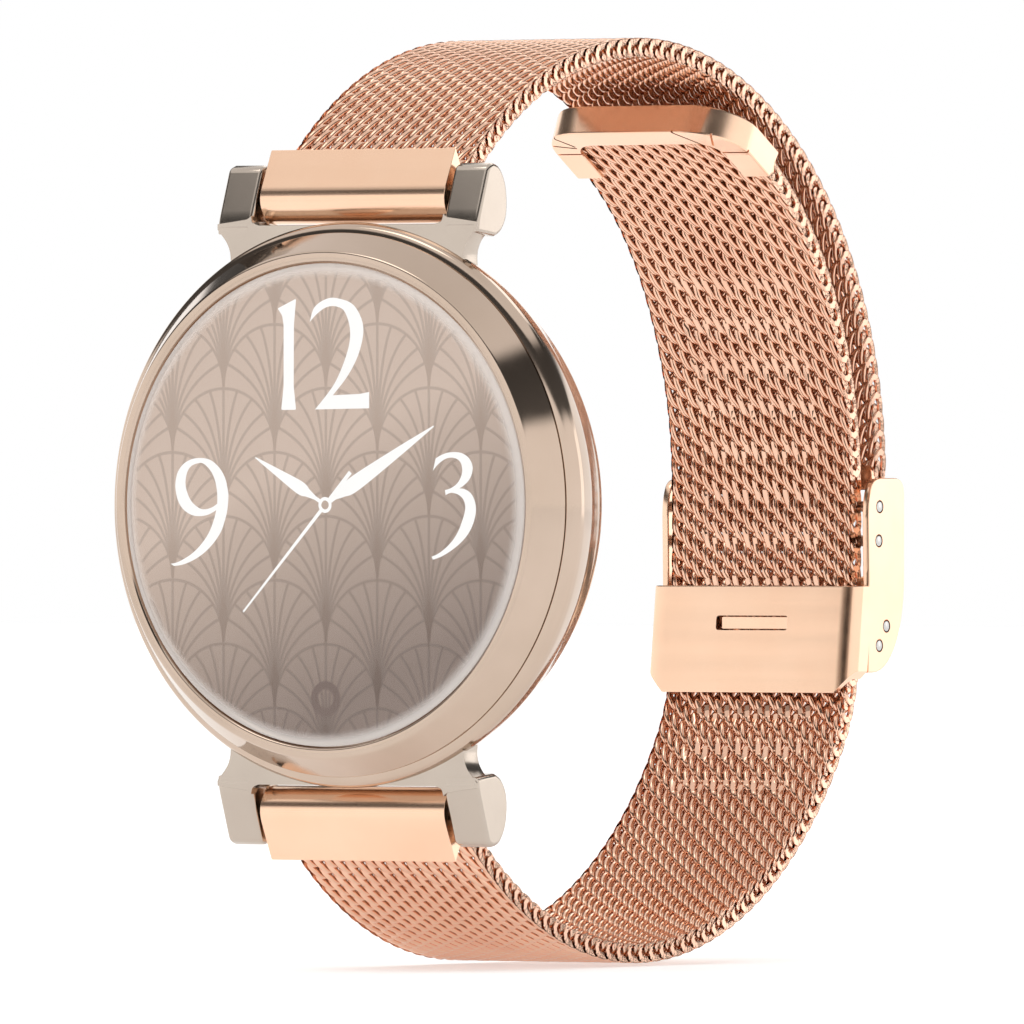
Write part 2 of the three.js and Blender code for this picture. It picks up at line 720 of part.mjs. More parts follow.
// The slot that the release lever slides in, on the wrist side of the tube.
function leverSlot(bar, reach) {
  const low = leverX + LEVER_RADIUS + 0.15 - leverSlotWidth();
  const halfHeight = LEVER_RADIUS + 0.12;
  const outline = polygonSide([
    new THREE.Vector2(bar.x, bar.y - halfHeight),
    new THREE.Vector2(bar.x + reach, bar.y - halfHeight),
    new THREE.Vector2(bar.x + reach, bar.y + halfHeight),
    new THREE.Vector2(bar.x, bar.y + halfHeight),
  ]);
  return extrudeAlongX(outline, low, low + leverSlotWidth());
}

function endLink(side, bar, route) {
  const halfWidth = STRAP_WIDTH / 2;
  const tube = barAlongX(LINK_TUBE_RADIUS, -halfWidth, halfWidth, bar, 24);
  const plate = extrudeAlongX(linkPlate(side, bar, route), -halfWidth, halfWidth);
  const bore = barAlongX(BAR_TUBE_RADIUS + STACK_GAP, -halfWidth - 1, halfWidth + 1, bar);
  const socket = strip(route, 0, 6, BAND_THICKNESS + 2 * BAND_GAP, STRAP_WIDTH + 1);
  return cut(tube.add(plate), [bore, socket, leverSlot(bar, 4)]);
}

// Spring bar: a thin tube, a fixed pin, a sprung pin with a lever, and the spring

const leverBodyEnd = leverX - 1;
const fixedPinEnd = -halfLugGap + 2;

function barTube(bar) {
  const halfWidth = STRAP_WIDTH / 2;
  const tube = barAlongX(BAR_TUBE_RADIUS, -halfWidth, halfWidth, bar);
  const bore = barAlongX(BAR_TUBE_BORE, -halfWidth - 1, halfWidth + 1, bar);
  return cut(tube, [bore, leverSlot(bar, 2)]);
}

function fixedPin(bar) {
  return barAlongX(PIN_RADIUS, -halfLugGap - PIN_IN_LUG, fixedPinEnd, bar);
}

function releasePin(bar) {
  const pin = barAlongX(PIN_RADIUS, leverBodyEnd, halfLugGap + PIN_IN_LUG, bar);
  const lever = barAlongY(LEVER_RADIUS, bar.x, bar.x + LEVER_LENGTH, leverX, bar.y, 12);
  return pin.add(lever);
}

function barSpring(bar) {
  const coilRadius = BAR_TUBE_BORE - SPRING_WIRE_RADIUS - 0.08;
  const start = fixedPinEnd + 0.2;
  const length = leverBodyEnd - 0.2 - start;
  class Coil extends THREE.Curve {
    getPoint(share, target = new THREE.Vector3()) {
      const angle = share * SPRING_TURNS * 2 * Math.PI;
      const y = bar.x + coilRadius * Math.cos(angle);
      const z = bar.y + coilRadius * Math.sin(angle);
      return target.set(start + share * length, y, z);
    }
  }
  const section = new THREE.Shape();
  section.absarc(0, 0, SPRING_WIRE_RADIUS, 0, 2 * Math.PI, false);
  const geometry = new THREE.ExtrudeGeometry(section, {
    steps: SPRING_TURNS * 10,
    curveSegments: 4,
    bevelEnabled: false,
    extrudePath: new Coil(),
  });
  return solid(geometry);
}

// Hook at the free end of the top strap: a crimped block and a spring plate behind the hook pin

function hookLink(route) {
  const length = route.getLength();
  const block = crossBar(
    route,
    length - HOOK_BLOCK_LENGTH / 2 + 0.6,
    HOOK_BLOCK_LENGTH,
    -hookBlockThickness / 2,
    hookBlockThickness / 2,
    STRAP_WIDTH,
  );
  const socket = strip(route, length - 6, length, BAND_THICKNESS + 2 * BAND_GAP, STRAP_WIDTH + 1);
  const innerY = hookPin.x + CLASP_PIN_RADIUS + HOOK_PIN_GAP;
  const outerY = innerY + HOOK_PLATE_THICKNESS;
  const lowZ = hookPin.y - 1.1;
  const outline = polygonSide([
    new THREE.Vector2(innerY + 0.15, 1.5),
    new THREE.Vector2(innerY, hookPin.y),
    new THREE.Vector2(innerY - HOOK_LIP, lowZ + 0.3),
    new THREE.Vector2(innerY - HOOK_LIP, lowZ),
    new THREE.Vector2(outerY, lowZ),
    new THREE.Vector2(outerY + 0.15, 1.5),
  ]);
  const plate = extrudeAlongX(outline, -HOOK_WIDTH / 2, HOOK_WIDTH / 2);
  return block.subtract(socket).add(plate);
}

function notchedBand(route) {
  const band = strip(route, 0, route.getLength(), BAND_THICKNESS, STRAP_WIDTH);
  const inner = -BAND_THICKNESS / 2;
  const tools = [];
  for (let i = 0; i < NOTCH_COUNT; i += 1) {
    const distance = route.getLength() - FIRST_NOTCH_FROM_TIP - i * NOTCH_PITCH;
    tools.push(crossBar(route, distance, NOTCH_LENGTH, inner - 1, inner + NOTCH_DEPTH, NOTCH_WIDTH));
  }
  return cut(band, tools);
}

// Tip cap: a folded lip round the end of the tail, open in the middle

function capPlan() {
  const half = capWidth / 2;
  const shape = new THREE.Shape();
  shape.moveTo(-half, -CAP_LENGTH - 1);
  shape.lineTo(half, -CAP_LENGTH - 1);
  shape.lineTo(half, -CAP_CORNER);
  shape.quadraticCurveTo(half, 0, half - CAP_CORNER, 0);
  shape.lineTo(-half + CAP_CORNER, 0);
  shape.quadraticCurveTo(-half, 0, -half, -CAP_CORNER);
  return shape;
}

function tipCap(route) {
  const bandEnd = route.getLength();
  const capRoute = bottomRoute(0, CAP_OVERHANG);
  const capEnd = capRoute.getLength();
  const capStart = capEnd - CAP_LENGTH;
  const { point, along, outward } = routeFrame(capRoute, capEnd);
  const plan = new THREE.ExtrudeGeometry(capPlan(), {
    depth: 8,
    bevelEnabled: false,
    curveSegments: 4,
  });
  plan.translate(0, 0, -4);
  const basis = new THREE.Matrix4().makeBasis(
    new THREE.Vector3(1, 0, 0),
    new THREE.Vector3(0, along.x, along.y),
    new THREE.Vector3(0, -outward.x, -outward.y),
  );
  plan.applyMatrix4(basis);
  plan.translate(0, point.x, point.y);
  const body = strip(capRoute, capStart, capEnd, capThickness, capWidth);
  const grip = BAND_THICKNESS + 2 * BAND_GAP;
  const socket = strip(capRoute, capStart - 2, bandEnd + BAND_GAP, grip, STRAP_WIDTH + 2 * BAND_GAP);
  const mouthWidth = STRAP_WIDTH - 2 * CAP_LIP;
  const mouth = strip(capRoute, capStart - 2, capEnd - CAP_LIP, capThickness + 2, mouthWidth);
  return cut(body.intersect(solid(plan)), [socket, mouth]);
}

// Clasp: a folded channel that slides on the bottom strap, its pins and its locking lid

function claspWallOutline() {
  const outer = claspWallOuterY;
  const top = CLASP_WALL_TOP_Z;
  const bottom = CLASP_WALL_BOTTOM_Z;
  const innerAtBottom = plateInnerY(bottom);
  const outline = new THREE.Shape();
  outline.moveTo(plateTop.x, plateTop.y);
  outline.lineTo(plateTop.x + CLASP_SHEET, plateTop.y);
  outline.lineTo(hookPin.x - 1.4, top - 1.4);
  outline.quadraticCurveTo(hookPin.x - 1, top, hookPin.x, top);
  outline.lineTo(outer - 1.2, top);
  outline.quadraticCurveTo(outer, top, outer, top - 1.6);
  outline.lineTo(outer, LID_TOP_Z);
  outline.bezierCurveTo(outer, bottom + 2.6, outer - 2, bottom, outer - 5, bottom);
  outline.lineTo(innerAtBottom, bottom);
  return outline;
}

function plateInnerY(z) {
  const share = (z - plateTop.y) / (plateBottom.y - plateTop.y);
  return plateTop.x + share * (plateBottom.x - plateTop.x);
}

function cornerCut(side) {
  const half = claspWidth / 2;
  const low = plateBottom.y;
  const outline = new THREE.Shape();
  outline.moveTo(side * (half + 1), low - 1);
  outline.lineTo(side * (half - CLASP_PLATE_CHAMFER - 1), low - 1);
  outline.lineTo(side * (half - CLASP_PLATE_CHAMFER), low);
  outline.lineTo(side * half, low + CLASP_PLATE_CHAMFER);
  outline.lineTo(side * (half + 1), low + CLASP_PLATE_CHAMFER + 1);
  return extrudeAlongY(outline, plateBottom.x - 1, plateTop.x + 2);
}

function claspBody() {
  const half = claspWidth / 2;
  const plate = extrudeAlongX(
    polygonSide([
      plateTop,
      plateBottom,
      new THREE.Vector2(plateBottom.x + CLASP_SHEET, plateBottom.y),
      new THREE.Vector2(plateTop.x + CLASP_SHEET, plateTop.y),
    ]),
    -half,
    half,
  );
  const walls = [
    extrudeAlongX(claspWallOutline(), -half, -half + CLASP_SHEET),
    extrudeAlongX(claspWallOutline(), half - CLASP_SHEET, half),
  ];
  const slotZ = (plateTop.y + guidePin.y) / 2 - CLASP_SLOT_HEIGHT / 2;
  const slot = rectangle(0, slotZ, CLASP_SLOT_WIDTH, CLASP_SLOT_HEIGHT);
  const tools = [extrudeAlongY(slot, plateBottom.x - 1, plateTop.x + 2)];
  tools.push(cornerCut(1), cornerCut(-1));
  for (const pin of [hookPin, stopPin, lidPin, guidePin]) {
    tools.push(barAlongX(CLASP_PIN_RADIUS + CLASP_PIN_CLEARANCE, -half - 1, half + 1, pin));
  }
  return cut(union([plate, ...walls]), tools);
}

function claspPin(centre) {
  return barAlongX(CLASP_PIN_RADIUS, -claspWidth / 2, claspWidth / 2, centre);
}

// The lid: a knuckle round its pin, a cover plate above it and a lip for a finger nail.
function claspLid() {
  const halfWidth = claspWidth / 2 - CLASP_SHEET - LID_SIDE_GAP;
  const outer = claspWallOuterY - LID_RECESS;
  const inner = outer - LID_THICKNESS;
  const outline = new THREE.Shape();
  outline.moveTo(lidPin.x + 0.3, lidPin.y - LID_KNUCKLE_RADIUS + 0.06);
  outline.quadraticCurveTo(outer, lidPin.y - 0.3, outer, lidPin.y + 0.8);
  outline.lineTo(outer, LID_TOP_Z - 0.5);
  outline.lineTo(outer + LID_FINGER_LIP, LID_TOP_Z);
  outline.lineTo(inner + LID_FINGER_LIP, LID_TOP_Z);
  outline.lineTo(inner, LID_TOP_Z - 0.5);
  outline.lineTo(inner, lidPin.y + LID_KNUCKLE_RADIUS);
  outline.lineTo(lidPin.x, lidPin.y + LID_KNUCKLE_RADIUS);
  const plate = extrudeAlongX(outline, -halfWidth, halfWidth);
  const knuckle = barAlongX(LID_KNUCKLE_RADIUS, -halfWidth, halfWidth, lidPin, 24);
  const bore = barAlongX(CLASP_PIN_RADIUS + 0.08, -claspWidth, claspWidth, lidPin);
  return knuckle.add(plate).subtract(bore);
}

function addClasp() {
  const clasp = new THREE.Group();
  addPiece(clasp, 'clasp_body', claspBody(), roseGold);
  addPiece(clasp, 'clasp_hook_pin', claspPin(hookPin), steel);
  addPiece(clasp, 'clasp_stop_pin', claspPin(stopPin), steel);
  addPiece(clasp, 'clasp_lid_pin', claspPin(lidPin), steel);
  addPiece(clasp, 'clasp_guide_pin', claspPin(guidePin), steel);
  addPiece(clasp, 'clasp_lid', claspLid(), roseGold);
  watch.add(clasp);
}

function addSpringBar(group, prefix, bar) {
  addPiece(group, `${prefix}_bar_tube`, barTube(bar), steel);
  addPiece(group, `${prefix}_bar_fixed_pin`, fixedPin(bar), steel);
  addPiece(group, `${prefix}_bar_spring`, barSpring(bar), steel);
  addPiece(group, `${prefix}_release_pin`, releasePin(bar), steel);
}

function addTopStrap() {
  const strap = new THREE.Group();
  const bar = new THREE.Vector2(barY, barZ);
  const route = topRoute();
  addPiece(strap, 'top_end_link', endLink(1, bar, topRoute(2 * BAND_GAP)), roseGold);
  addSpringBar(strap, 'top', bar);
  addPiece(strap, 'top_mesh_band', strip(route, 0, route.getLength(), BAND_THICKNESS, STRAP_WIDTH), roseMesh);
  addPiece(strap, 'top_hook_link', hookLink(topRoute(0, TOP_END_Z - BAND_GAP)), roseGold);
  watch.add(strap);
}

function addBottomStrap() {
  const strap = new THREE.Group();
  const bar = new THREE.Vector2(barY, -barZ);
  const route = bottomRoute();
  addPiece(strap, 'bottom_end_link', endLink(-1, bar, bottomRoute(2 * BAND_GAP)), roseGold);
  addSpringBar(strap, 'bottom', bar);
  addPiece(strap, 'bottom_mesh_band', notchedBand(route), roseMesh);
  addPiece(strap, 'band_tip_cap', tipCap(route), roseGold);
  watch.add(strap);
}

addCase();
addTopStrap();
addBottomStrap();
addClasp();

export default watch;
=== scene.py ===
"""The looks of the smartwatch: wire-woven straps, polished case, dial and clasp.

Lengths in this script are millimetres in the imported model's frame; every mesh is scaled to metres
when it is made. -Y is the dial side, +Y points into the wrist, +Z is 12 o'clock.
"""

import math

import bmesh
import bpy
import numpy as np
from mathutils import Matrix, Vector


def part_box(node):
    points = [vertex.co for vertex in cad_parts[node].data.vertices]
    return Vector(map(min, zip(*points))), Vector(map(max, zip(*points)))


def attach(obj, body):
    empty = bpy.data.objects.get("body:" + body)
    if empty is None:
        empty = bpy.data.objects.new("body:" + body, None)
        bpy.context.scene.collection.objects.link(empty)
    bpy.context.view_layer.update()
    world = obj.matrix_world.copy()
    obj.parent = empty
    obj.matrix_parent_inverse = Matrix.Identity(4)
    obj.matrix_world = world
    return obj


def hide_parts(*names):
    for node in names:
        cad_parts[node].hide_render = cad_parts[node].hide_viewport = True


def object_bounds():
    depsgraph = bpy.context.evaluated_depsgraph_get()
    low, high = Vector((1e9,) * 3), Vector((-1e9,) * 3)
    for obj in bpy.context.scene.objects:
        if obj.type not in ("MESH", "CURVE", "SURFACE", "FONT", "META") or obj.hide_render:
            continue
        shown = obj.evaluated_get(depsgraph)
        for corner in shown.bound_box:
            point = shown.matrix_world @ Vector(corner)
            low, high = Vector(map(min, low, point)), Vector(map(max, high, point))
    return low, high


MM = 0.001

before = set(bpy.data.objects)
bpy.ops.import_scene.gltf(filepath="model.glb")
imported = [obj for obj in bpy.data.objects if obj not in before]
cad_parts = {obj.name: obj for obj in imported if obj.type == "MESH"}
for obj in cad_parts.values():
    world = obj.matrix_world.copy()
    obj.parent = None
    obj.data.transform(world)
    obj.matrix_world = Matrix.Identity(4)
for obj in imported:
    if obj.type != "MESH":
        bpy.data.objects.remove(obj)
cad_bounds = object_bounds()


# ---------------- sizes

def node_box(name):
    """Lowest and highest corner of a CAD node, in millimetres."""
    low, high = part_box(name)
    return np.array(low) / MM, np.array(high) / MM


CASE_RADIUS = node_box("case_body")[1][0]
BEZEL_LOW, BEZEL_HIGH = node_box("bezel_ring")
LENS_LOW, LENS_HIGH = node_box("lens")
COVER_LOW, COVER_HIGH = node_box("back_cover")
WINDOW_LOW, WINDOW_HIGH = node_box("sensor_window")
CLASP_HIGH = node_box("clasp_body")[1]
LID_HIGH = node_box("clasp_lid")[1]
LINK_HIGH = node_box("top_end_link")[1]
DISPLAY_HIGH = node_box("display_panel")[1]

CASE_FRONT_Y = BEZEL_HIGH[1] + 0.05
CASE_BACK_Y = node_box("case_body")[1][1]
COVER_SHELF_Y = node_box("charge_contact_1")[1][1]
BEZEL_RADIUS = BEZEL_HIGH[0] - 0.05
LENS_RADIUS = LENS_HIGH[0]
BEZEL_BORE = LENS_RADIUS + 0.1
BEZEL_TOP_RADIUS = BEZEL_BORE + 0.7
LENS_DOME = 0.4
DIAL_Y = LENS_LOW[1] + LENS_DOME + 0.2

HALF_STRAP = LINK_HIGH[0]
HALF_LUG_GAP = HALF_STRAP + 0.3
LUG_WIDTH = 2.6
LUG_OUTER_X = HALF_LUG_GAP + LUG_WIDTH
BAR_Y = CASE_FRONT_Y + 2.8
BAR_Z = CASE_RADIUS + 1.5
BRACKET_FRONT_Y = CASE_FRONT_Y + 0.65
BRACKET_DEPTH = 1.55
BRACKET_TOP_Z = CASE_RADIUS - 0.15
BRACKET_NECK_Z = BRACKET_TOP_Z - 1.85
BRACKET_NECK_X = LUG_OUTER_X - 1

LINK_TUBE_RADIUS = 1.6
BAR_BORE = 0.84
LINK_PLATE_LENGTH = 2.75
LINK_BACK_OFFSET = -1.55
LINK_LEAN = math.radians(25)

BAND_THICKNESS = 1.25
TOP_CENTRE = np.array([BAR_Y + 21.1, 1.5])
BOTTOM_CENTRE = np.array([BAR_Y + 20.6, -1.5])
TOP_START = np.array([BAR_Y + 1.32, BAR_Z + 1.4])
BOTTOM_START = np.array([BAR_Y + 1.25, -BAR_Z - 0.99])
TOP_RADIUS = float(np.hypot(*(TOP_START - TOP_CENTRE)))
BOTTOM_RADIUS = float(np.hypot(*(BOTTOM_START - BOTTOM_CENTRE)))
TAIL_RADIUS = TOP_RADIUS - BAND_THICKNESS - 2.15
TOP_END_Z = 2.2
CROSSOVER_START_Z = -15
CROSSOVER_HANDLE = 5.6
TAIL_START_Z = 2.3
TAIL_HANDLE = 6
TAIL_EXTRA = 0.8
TAIL_END_ANGLE = math.radians(66) + TAIL_EXTRA / TAIL_RADIUS
TAIL_LIFT = 0.4
TIP_LIFT = 0.3

WIRE_RADIUS = 0.22
TURN_PITCH = 1.56
ROW_PITCH = 0.615
COIL_REACH = 0.84
COIL_HEIGHT = BAND_THICKNESS / 2 - WIRE_RADIUS + 0.03
COIL_BOW = 0.13
TURN_STEPS = 14
WIRE_SIDES = 8

FIRST_NOTCH_FROM_TIP = 14.4
NOTCH_COUNT = 13
NOTCH_PITCH = 2.85
NOTCH_WIDTH = 9
NOTCH_LENGTH = 1.2
NOTCH_DEPTH = 0.2

PIN_RADIUS = 0.375
CLASP_PINS = ("clasp_hook_pin", "clasp_stop_pin", "clasp_lid_pin", "clasp_guide_pin")


# ---------------- camera

VIEW_AZIMUTH = math.radians(34.1)
VIEW_WIDTH = 64.4
VIEW_DISTANCE = 1200
VIEW_RIGHT = 6.29
VIEW_HEIGHT = -0.44


def add_camera():
    right = Vector((math.cos(VIEW_AZIMUTH), math.sin(VIEW_AZIMUTH), 0))
    forward = Vector((-math.sin(VIEW_AZIMUTH), math.cos(VIEW_AZIMUTH), 0))
    target = right * VIEW_RIGHT + Vector((0, 0, VIEW_HEIGHT))
    data = bpy.data.cameras.new("camera")
    data.angle = 2 * math.atan(VIEW_WIDTH / 2 / VIEW_DISTANCE)
    data.clip_end = 20
    camera = bpy.data.objects.new("camera", data)
    camera.location = (target - forward * VIEW_DISTANCE) * MM
    camera.rotation_euler = (math.pi / 2, 0, VIEW_AZIMUTH)
    bpy.context.collection.objects.link(camera)
    bpy.context.scene.camera = camera


# ---------------- materials

BUMP_DISTANCE = 0.02 * MM
DIAL_SLOPE = (14, 0, -34)
DIAL_TONES = ((0.05, (0.88, 0.71, 0.60)), (0.5, (0.50, 0.39, 0.325)), (0.95, (0.22, 0.165, 0.14)))


class Nodes:
    """A node tree, with short calls that add nodes to it."""

    def __init__(self, tree):
        self.tree = tree

    def add(self, kind, inputs=None, **settings):
        """A new node; its inputs are given as values or as other nodes' outputs."""
        node = self.tree.nodes.new(kind)
        for key, value in settings.items():
            setattr(node, key, value)
        for socket, value in (inputs or {}).items():
            self.feed(node.inputs[socket], value)
        return node

    def feed(self, socket, value):
        if isinstance(value, bpy.types.NodeSocket):
            self.tree.links.new(value, socket)
        else:
            socket.default_value = value

    def maths(self, operation, *values):
        return self.add("ShaderNodeMath", dict(enumerate(values)), operation=operation).outputs[0]

    def vector_maths(self, operation, first, second=(0, 0, 0)):
        return self.add("ShaderNodeVectorMath", {0: first, 1: second}, operation=operation)

    def mixed(self, share, first, second):
        inputs = {0: share, 1: first.outputs[0], 2: second.outputs[0]}
        return self.add("ShaderNodeMixShader", inputs)

    def ramp(self, fac, stops, interpolation="LINEAR"):
        node = self.add("ShaderNodeValToRGB", {"Fac": fac})
        node.color_ramp.interpolation = interpolation
        elements = node.color_ramp.elements
        while len(elements) < len(stops):
            elements.new(0.5)
        for element, (position, colour) in zip(elements, stops):
            element.position = position
            element.color = (*colour, 1)
        return node.outputs["Color"]

    def span(self, value, low, high):
        inputs = {"Value": value, "To Min": low, "To Max": high}
        return self.add("ShaderNodeMapRange", inputs).outputs["Result"]


class Surface(Nodes):
    """A new material's node tree, with noise placed in the piece's own space."""

    def __init__(self, name):
        self.material = bpy.data.materials.new(name)
        self.material.use_nodes = True
        super().__init__(self.material.node_tree)
        self.shader = self.tree.nodes["Principled BSDF"]
        self.output = self.tree.nodes["Material Output"]
        self.place = self.add("ShaderNodeTexCoord").outputs["Object"]

    def set(self, **inputs):
        """Feeds the main shader; a socket's words are joined by underscores."""
        for words, value in inputs.items():
            self.feed(self.shader.inputs[words.replace("_", " ")], value)

    def noise(self, scale, detail=3, stretch=(1, 1, 1)):
        mapping = self.add("ShaderNodeMapping", {"Vector": self.place, "Scale": stretch})
        inputs = {"Vector": mapping.outputs["Vector"], "Scale": scale, "Detail": detail}
        return self.add("ShaderNodeTexNoise", inputs).outputs["Fac"]

    def bump(self, height, strength):
        inputs = {"Height": height, "Strength": strength, "Distance": BUMP_DISTANCE}
        self.set(Normal=self.add("ShaderNodeBump", inputs).outputs["Normal"])


def metal(name, colour, worn, roughness, grain=(1, 1, 1), bump=0.05):
    """A metal whose tint and gloss vary softly, with a fine grain along one axis."""
    surface = Surface(name)
    tint = surface.ramp(surface.noise(180), [(0.35, colour), (0.7, worn)])
    grain_noise = surface.noise(900, 4, grain)
    gloss = surface.span(grain_noise, roughness * 0.75, roughness * 1.3)
    surface.set(Metallic=1, Base_Color=tint, Roughness=gloss)
    surface.bump(grain_noise, bump)
    return surface.material


def plain(name, colour, second, roughness, scale=400, bump=0.1):
    """A painted or moulded surface with a soft mottle."""
    surface = Surface(name)
    tint = surface.ramp(surface.noise(scale), [(0.35, colour), (0.7, second)])
    gloss = surface.span(surface.noise(scale * 2), roughness * 0.8, roughness * 1.2)
    surface.set(Base_Color=tint, Roughness=gloss)
    surface.bump(surface.noise(scale * 3), bump)
    return surface.material


def lit(surface, tone, strength):
    """Makes a surface glow in a tone, over a nearly black base."""
    surface.set(Emission_Color=tone, Emission_Strength=strength, Roughness=0.6)


def dial_material(name, strength):
    """The lit display: a soft slope of tone from the upper left to the lower right."""
    surface = Surface(name)
    slope = surface.vector_maths("DOT_PRODUCT", surface.place, DIAL_SLOPE)
    wash = surface.maths("MULTIPLY_ADD", surface.noise(30, 2), 0.2, slope.outputs["Value"])
    tone = surface.ramp(surface.span(wash, 0.40, 1.40), DIAL_TONES)
    surface.set(Base_Color=(0.02, 0.018, 0.016, 1))
    lit(surface, tone, strength)
    return surface.material


def glass_material(name, tint, painted_reflection_share):
    """Clear glass: see-through straight on, bright where it turns away, with a painted whitish reflection at
    its rim.
    """
    surface = Surface(name)
    clear = surface.add("ShaderNodeBsdfTransparent", {"Color": (*tint, 1)})
    gloss = surface.add("ShaderNodeBsdfGlossy", {"Roughness": 0.03})
    turned_away = surface.add("ShaderNodeLayerWeight", {"Blend": 0.5}).outputs["Facing"]
    steep = surface.maths("POWER", turned_away, 5)
    body = surface.mixed(surface.span(steep, 0.012, 0.9), clear, gloss)
    # painted reflection: a whitish diffuse layer that grows toward the rim stands in for the reflection at
    # the domed glass's edge
    painted_rim_reflection = surface.add("ShaderNodeBsdfDiffuse", {"Color": (0.92, 0.88, 0.85, 1)})
    flat = surface.vector_maths("MULTIPLY", surface.place, (1, 0, 1))
    radius = surface.vector_maths("LENGTH", flat.outputs["Vector"])
    inputs = {"Value": radius.outputs["Value"], "From Min": (LENS_RADIUS - 1.0) * MM,
              "From Max": LENS_RADIUS * MM, "To Max": painted_reflection_share}
    rim = surface.add("ShaderNodeMapRange", inputs, interpolation_type="SMOOTHSTEP")
    whole = surface.mixed(rim.outputs["Result"], body, painted_rim_reflection)
    surface.feed(surface.output.inputs["Surface"], whole.outputs[0])
    return surface.material


def ink(name, colour):
    """A flat lit colour with a faint mottle."""
    surface = Surface(name)
    faded = tuple(c * 0.96 for c in colour)
    surface.set(Base_Color=(0.02, 0.02, 0.02, 1))
    lit(surface, surface.ramp(surface.noise(200), [(0.3, colour), (0.8, faded)]), 1.0)
    return surface.material


CASE_METAL = metal("champagne_case", (0.57, 0.45, 0.365), (0.53, 0.415, 0.33), 0.1)
LUG_METAL = metal("champagne_lugs", (0.53, 0.46, 0.395), (0.49, 0.42, 0.36), 0.18)
BACK_METAL = metal("champagne_back", (0.42, 0.38, 0.34), (0.36, 0.32, 0.29), 0.3, (1, 1, 12))
ROSE_METAL = metal("rose_plate", (0.93, 0.64, 0.46), (0.91, 0.60, 0.42), 0.2, (0.05, 1, 1), 0.06)
ROSE_WIRE = metal("rose_wire", (0.87, 0.56, 0.41), (0.81, 0.49, 0.35), 0.11, (1, 1, 1), 0.04)
STEEL = metal("steel", (0.62, 0.61, 0.60), (0.55, 0.54, 0.53), 0.25)
GOLD = metal("contact_gold", (0.83, 0.62, 0.28), (0.75, 0.55, 0.25), 0.22)
BLACK = plain("black_seal", (0.02, 0.02, 0.02), (0.035, 0.035, 0.035), 0.5)
BOARD = plain("circuit_board", (0.01, 0.09, 0.05), (0.02, 0.14, 0.07), 0.5, 900)
DIAL = dial_material("dial", 1.0)
PATTERN_INK = dial_material("dial_pattern", 0.78)
# the last number is the strength of the lens's painted rim reflection
GLASS = glass_material("lens_glass", (0.99, 0.985, 0.98), 0.5)
WHITE_INK = ink("white_figures", (1.0, 1.0, 0.99))
TOUCH_INK = ink("touch_ring", (0.155, 0.105, 0.088))
WINDOW = plain("dark_window", (0.012, 0.011, 0.012), (0.02, 0.02, 0.022), 0.06, 200, 0.0)


# ---------------- mesh making

def mesh_from(parts, name):
    """A mesh in metres from millimetre vertices and faces, facing outward."""
    verts, faces = parts
    mesh = bpy.data.meshes.new(name)
    mesh.from_pydata((np.asarray(verts, dtype=float) * MM).tolist(), [], faces)
    build = bmesh.new()
    build.from_mesh(mesh)
    bmesh.ops.recalc_face_normals(build, faces=build.faces)
    build.to_mesh(mesh)
    build.free()
    return mesh


def add_piece(name, verts, faces, material, body, replaced=(), crease=35):
    """Makes an object from millimetre vertices, smooth-shaded except at creases."""
    return finish_piece(name, mesh_from((verts, faces), name), material, body, replaced, crease)


def finish_piece(name, mesh, material, body, replaced=(), crease=35):
    """Makes an object that rides a body, with its material and the CAD nodes it replaces."""
    mesh.polygons.foreach_set("use_smooth", [True] * len(mesh.polygons))
    mesh.set_sharp_from_angle(angle=math.radians(crease))
    mesh.materials.clear()
    mesh.materials.append(material)
    piece = bpy.data.objects.new(name, mesh)
    bpy.context.collection.objects.link(piece)
    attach(piece, body)
    if replaced:
        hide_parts(*replaced)
    if crease < 180:
        weighted = piece.modifiers.new("even_shading", "WEIGHTED_NORMAL")
        weighted.mode = "FACE_AREA"
        weighted.weight = 100
        weighted.keep_sharp = True
    return piece


def rounded(points, radius, steps=4, closed=True):
    """A polyline with each corner turned into a small curve."""
    points = [np.array(p, dtype=float) for p in points]
    count = len(points)
    out = []
    for i, corner in enumerate(points):
        if not closed and i in (0, count - 1):
            out.append(corner)
            continue
        ends = []
        for neighbour in (points[i - 1], points[(i + 1) % count]):
            size = np.linalg.norm(neighbour - corner)
            ends.append(corner + (neighbour - corner) / max(size, 1e-9) * min(radius, 0.45 * size))
        start, end = ends
        for k in range(steps + 1):
            t = k / steps
            out.append((1 - t) ** 2 * start + 2 * t * (1 - t) * corner + t * t * end)
    return out


def spline(points, steps=6):
    """A smooth curve through points (Catmull-Rom), its ends included."""
    points = [np.array(p, dtype=float) for p in (points[0], *points, points[-1])]
    out = []
    for p0, p1, p2, p3 in zip(points, points[1:], points[2:], points[3:]):
        for k in range(steps):
            t = k / steps
            out.append(0.5 * (2 * p1 + (p2 - p0) * t + (2 * p0 - 5 * p1 + 4 * p2 - p3) * t * t
                              + (3 * p1 - p0 - 3 * p2 + p3) * t ** 3))
    return [*out, points[-1]]


def bezier(p0, p1, p2, p3, steps=14):
    """Points of a cubic curve, its ends included."""
    t = np.linspace(0, 1, steps)[:, None]
    p0, p1, p2, p3 = (np.array(p, dtype=float) for p in (p0, p1, p2, p3))
    return list((1 - t) ** 3 * p0 + 3 * t * (1 - t) ** 2 * p1 + 3 * t * t * (1 - t) * p2 + t ** 3 * p3)


def swept_faces(rings, size):
    """Faces between rings of vertices that follow each other, with both ends closed."""
    faces = []
    for base in range(0, (rings - 1) * size, size):
        for k in range(size):
            n = (k + 1) % size
            faces.append([base + k, base + n, base + size + n, base + size + k])
    faces.append(list(range(size))[::-1])
    faces.append([(rings - 1) * size + k for k in range(size)])
    return faces


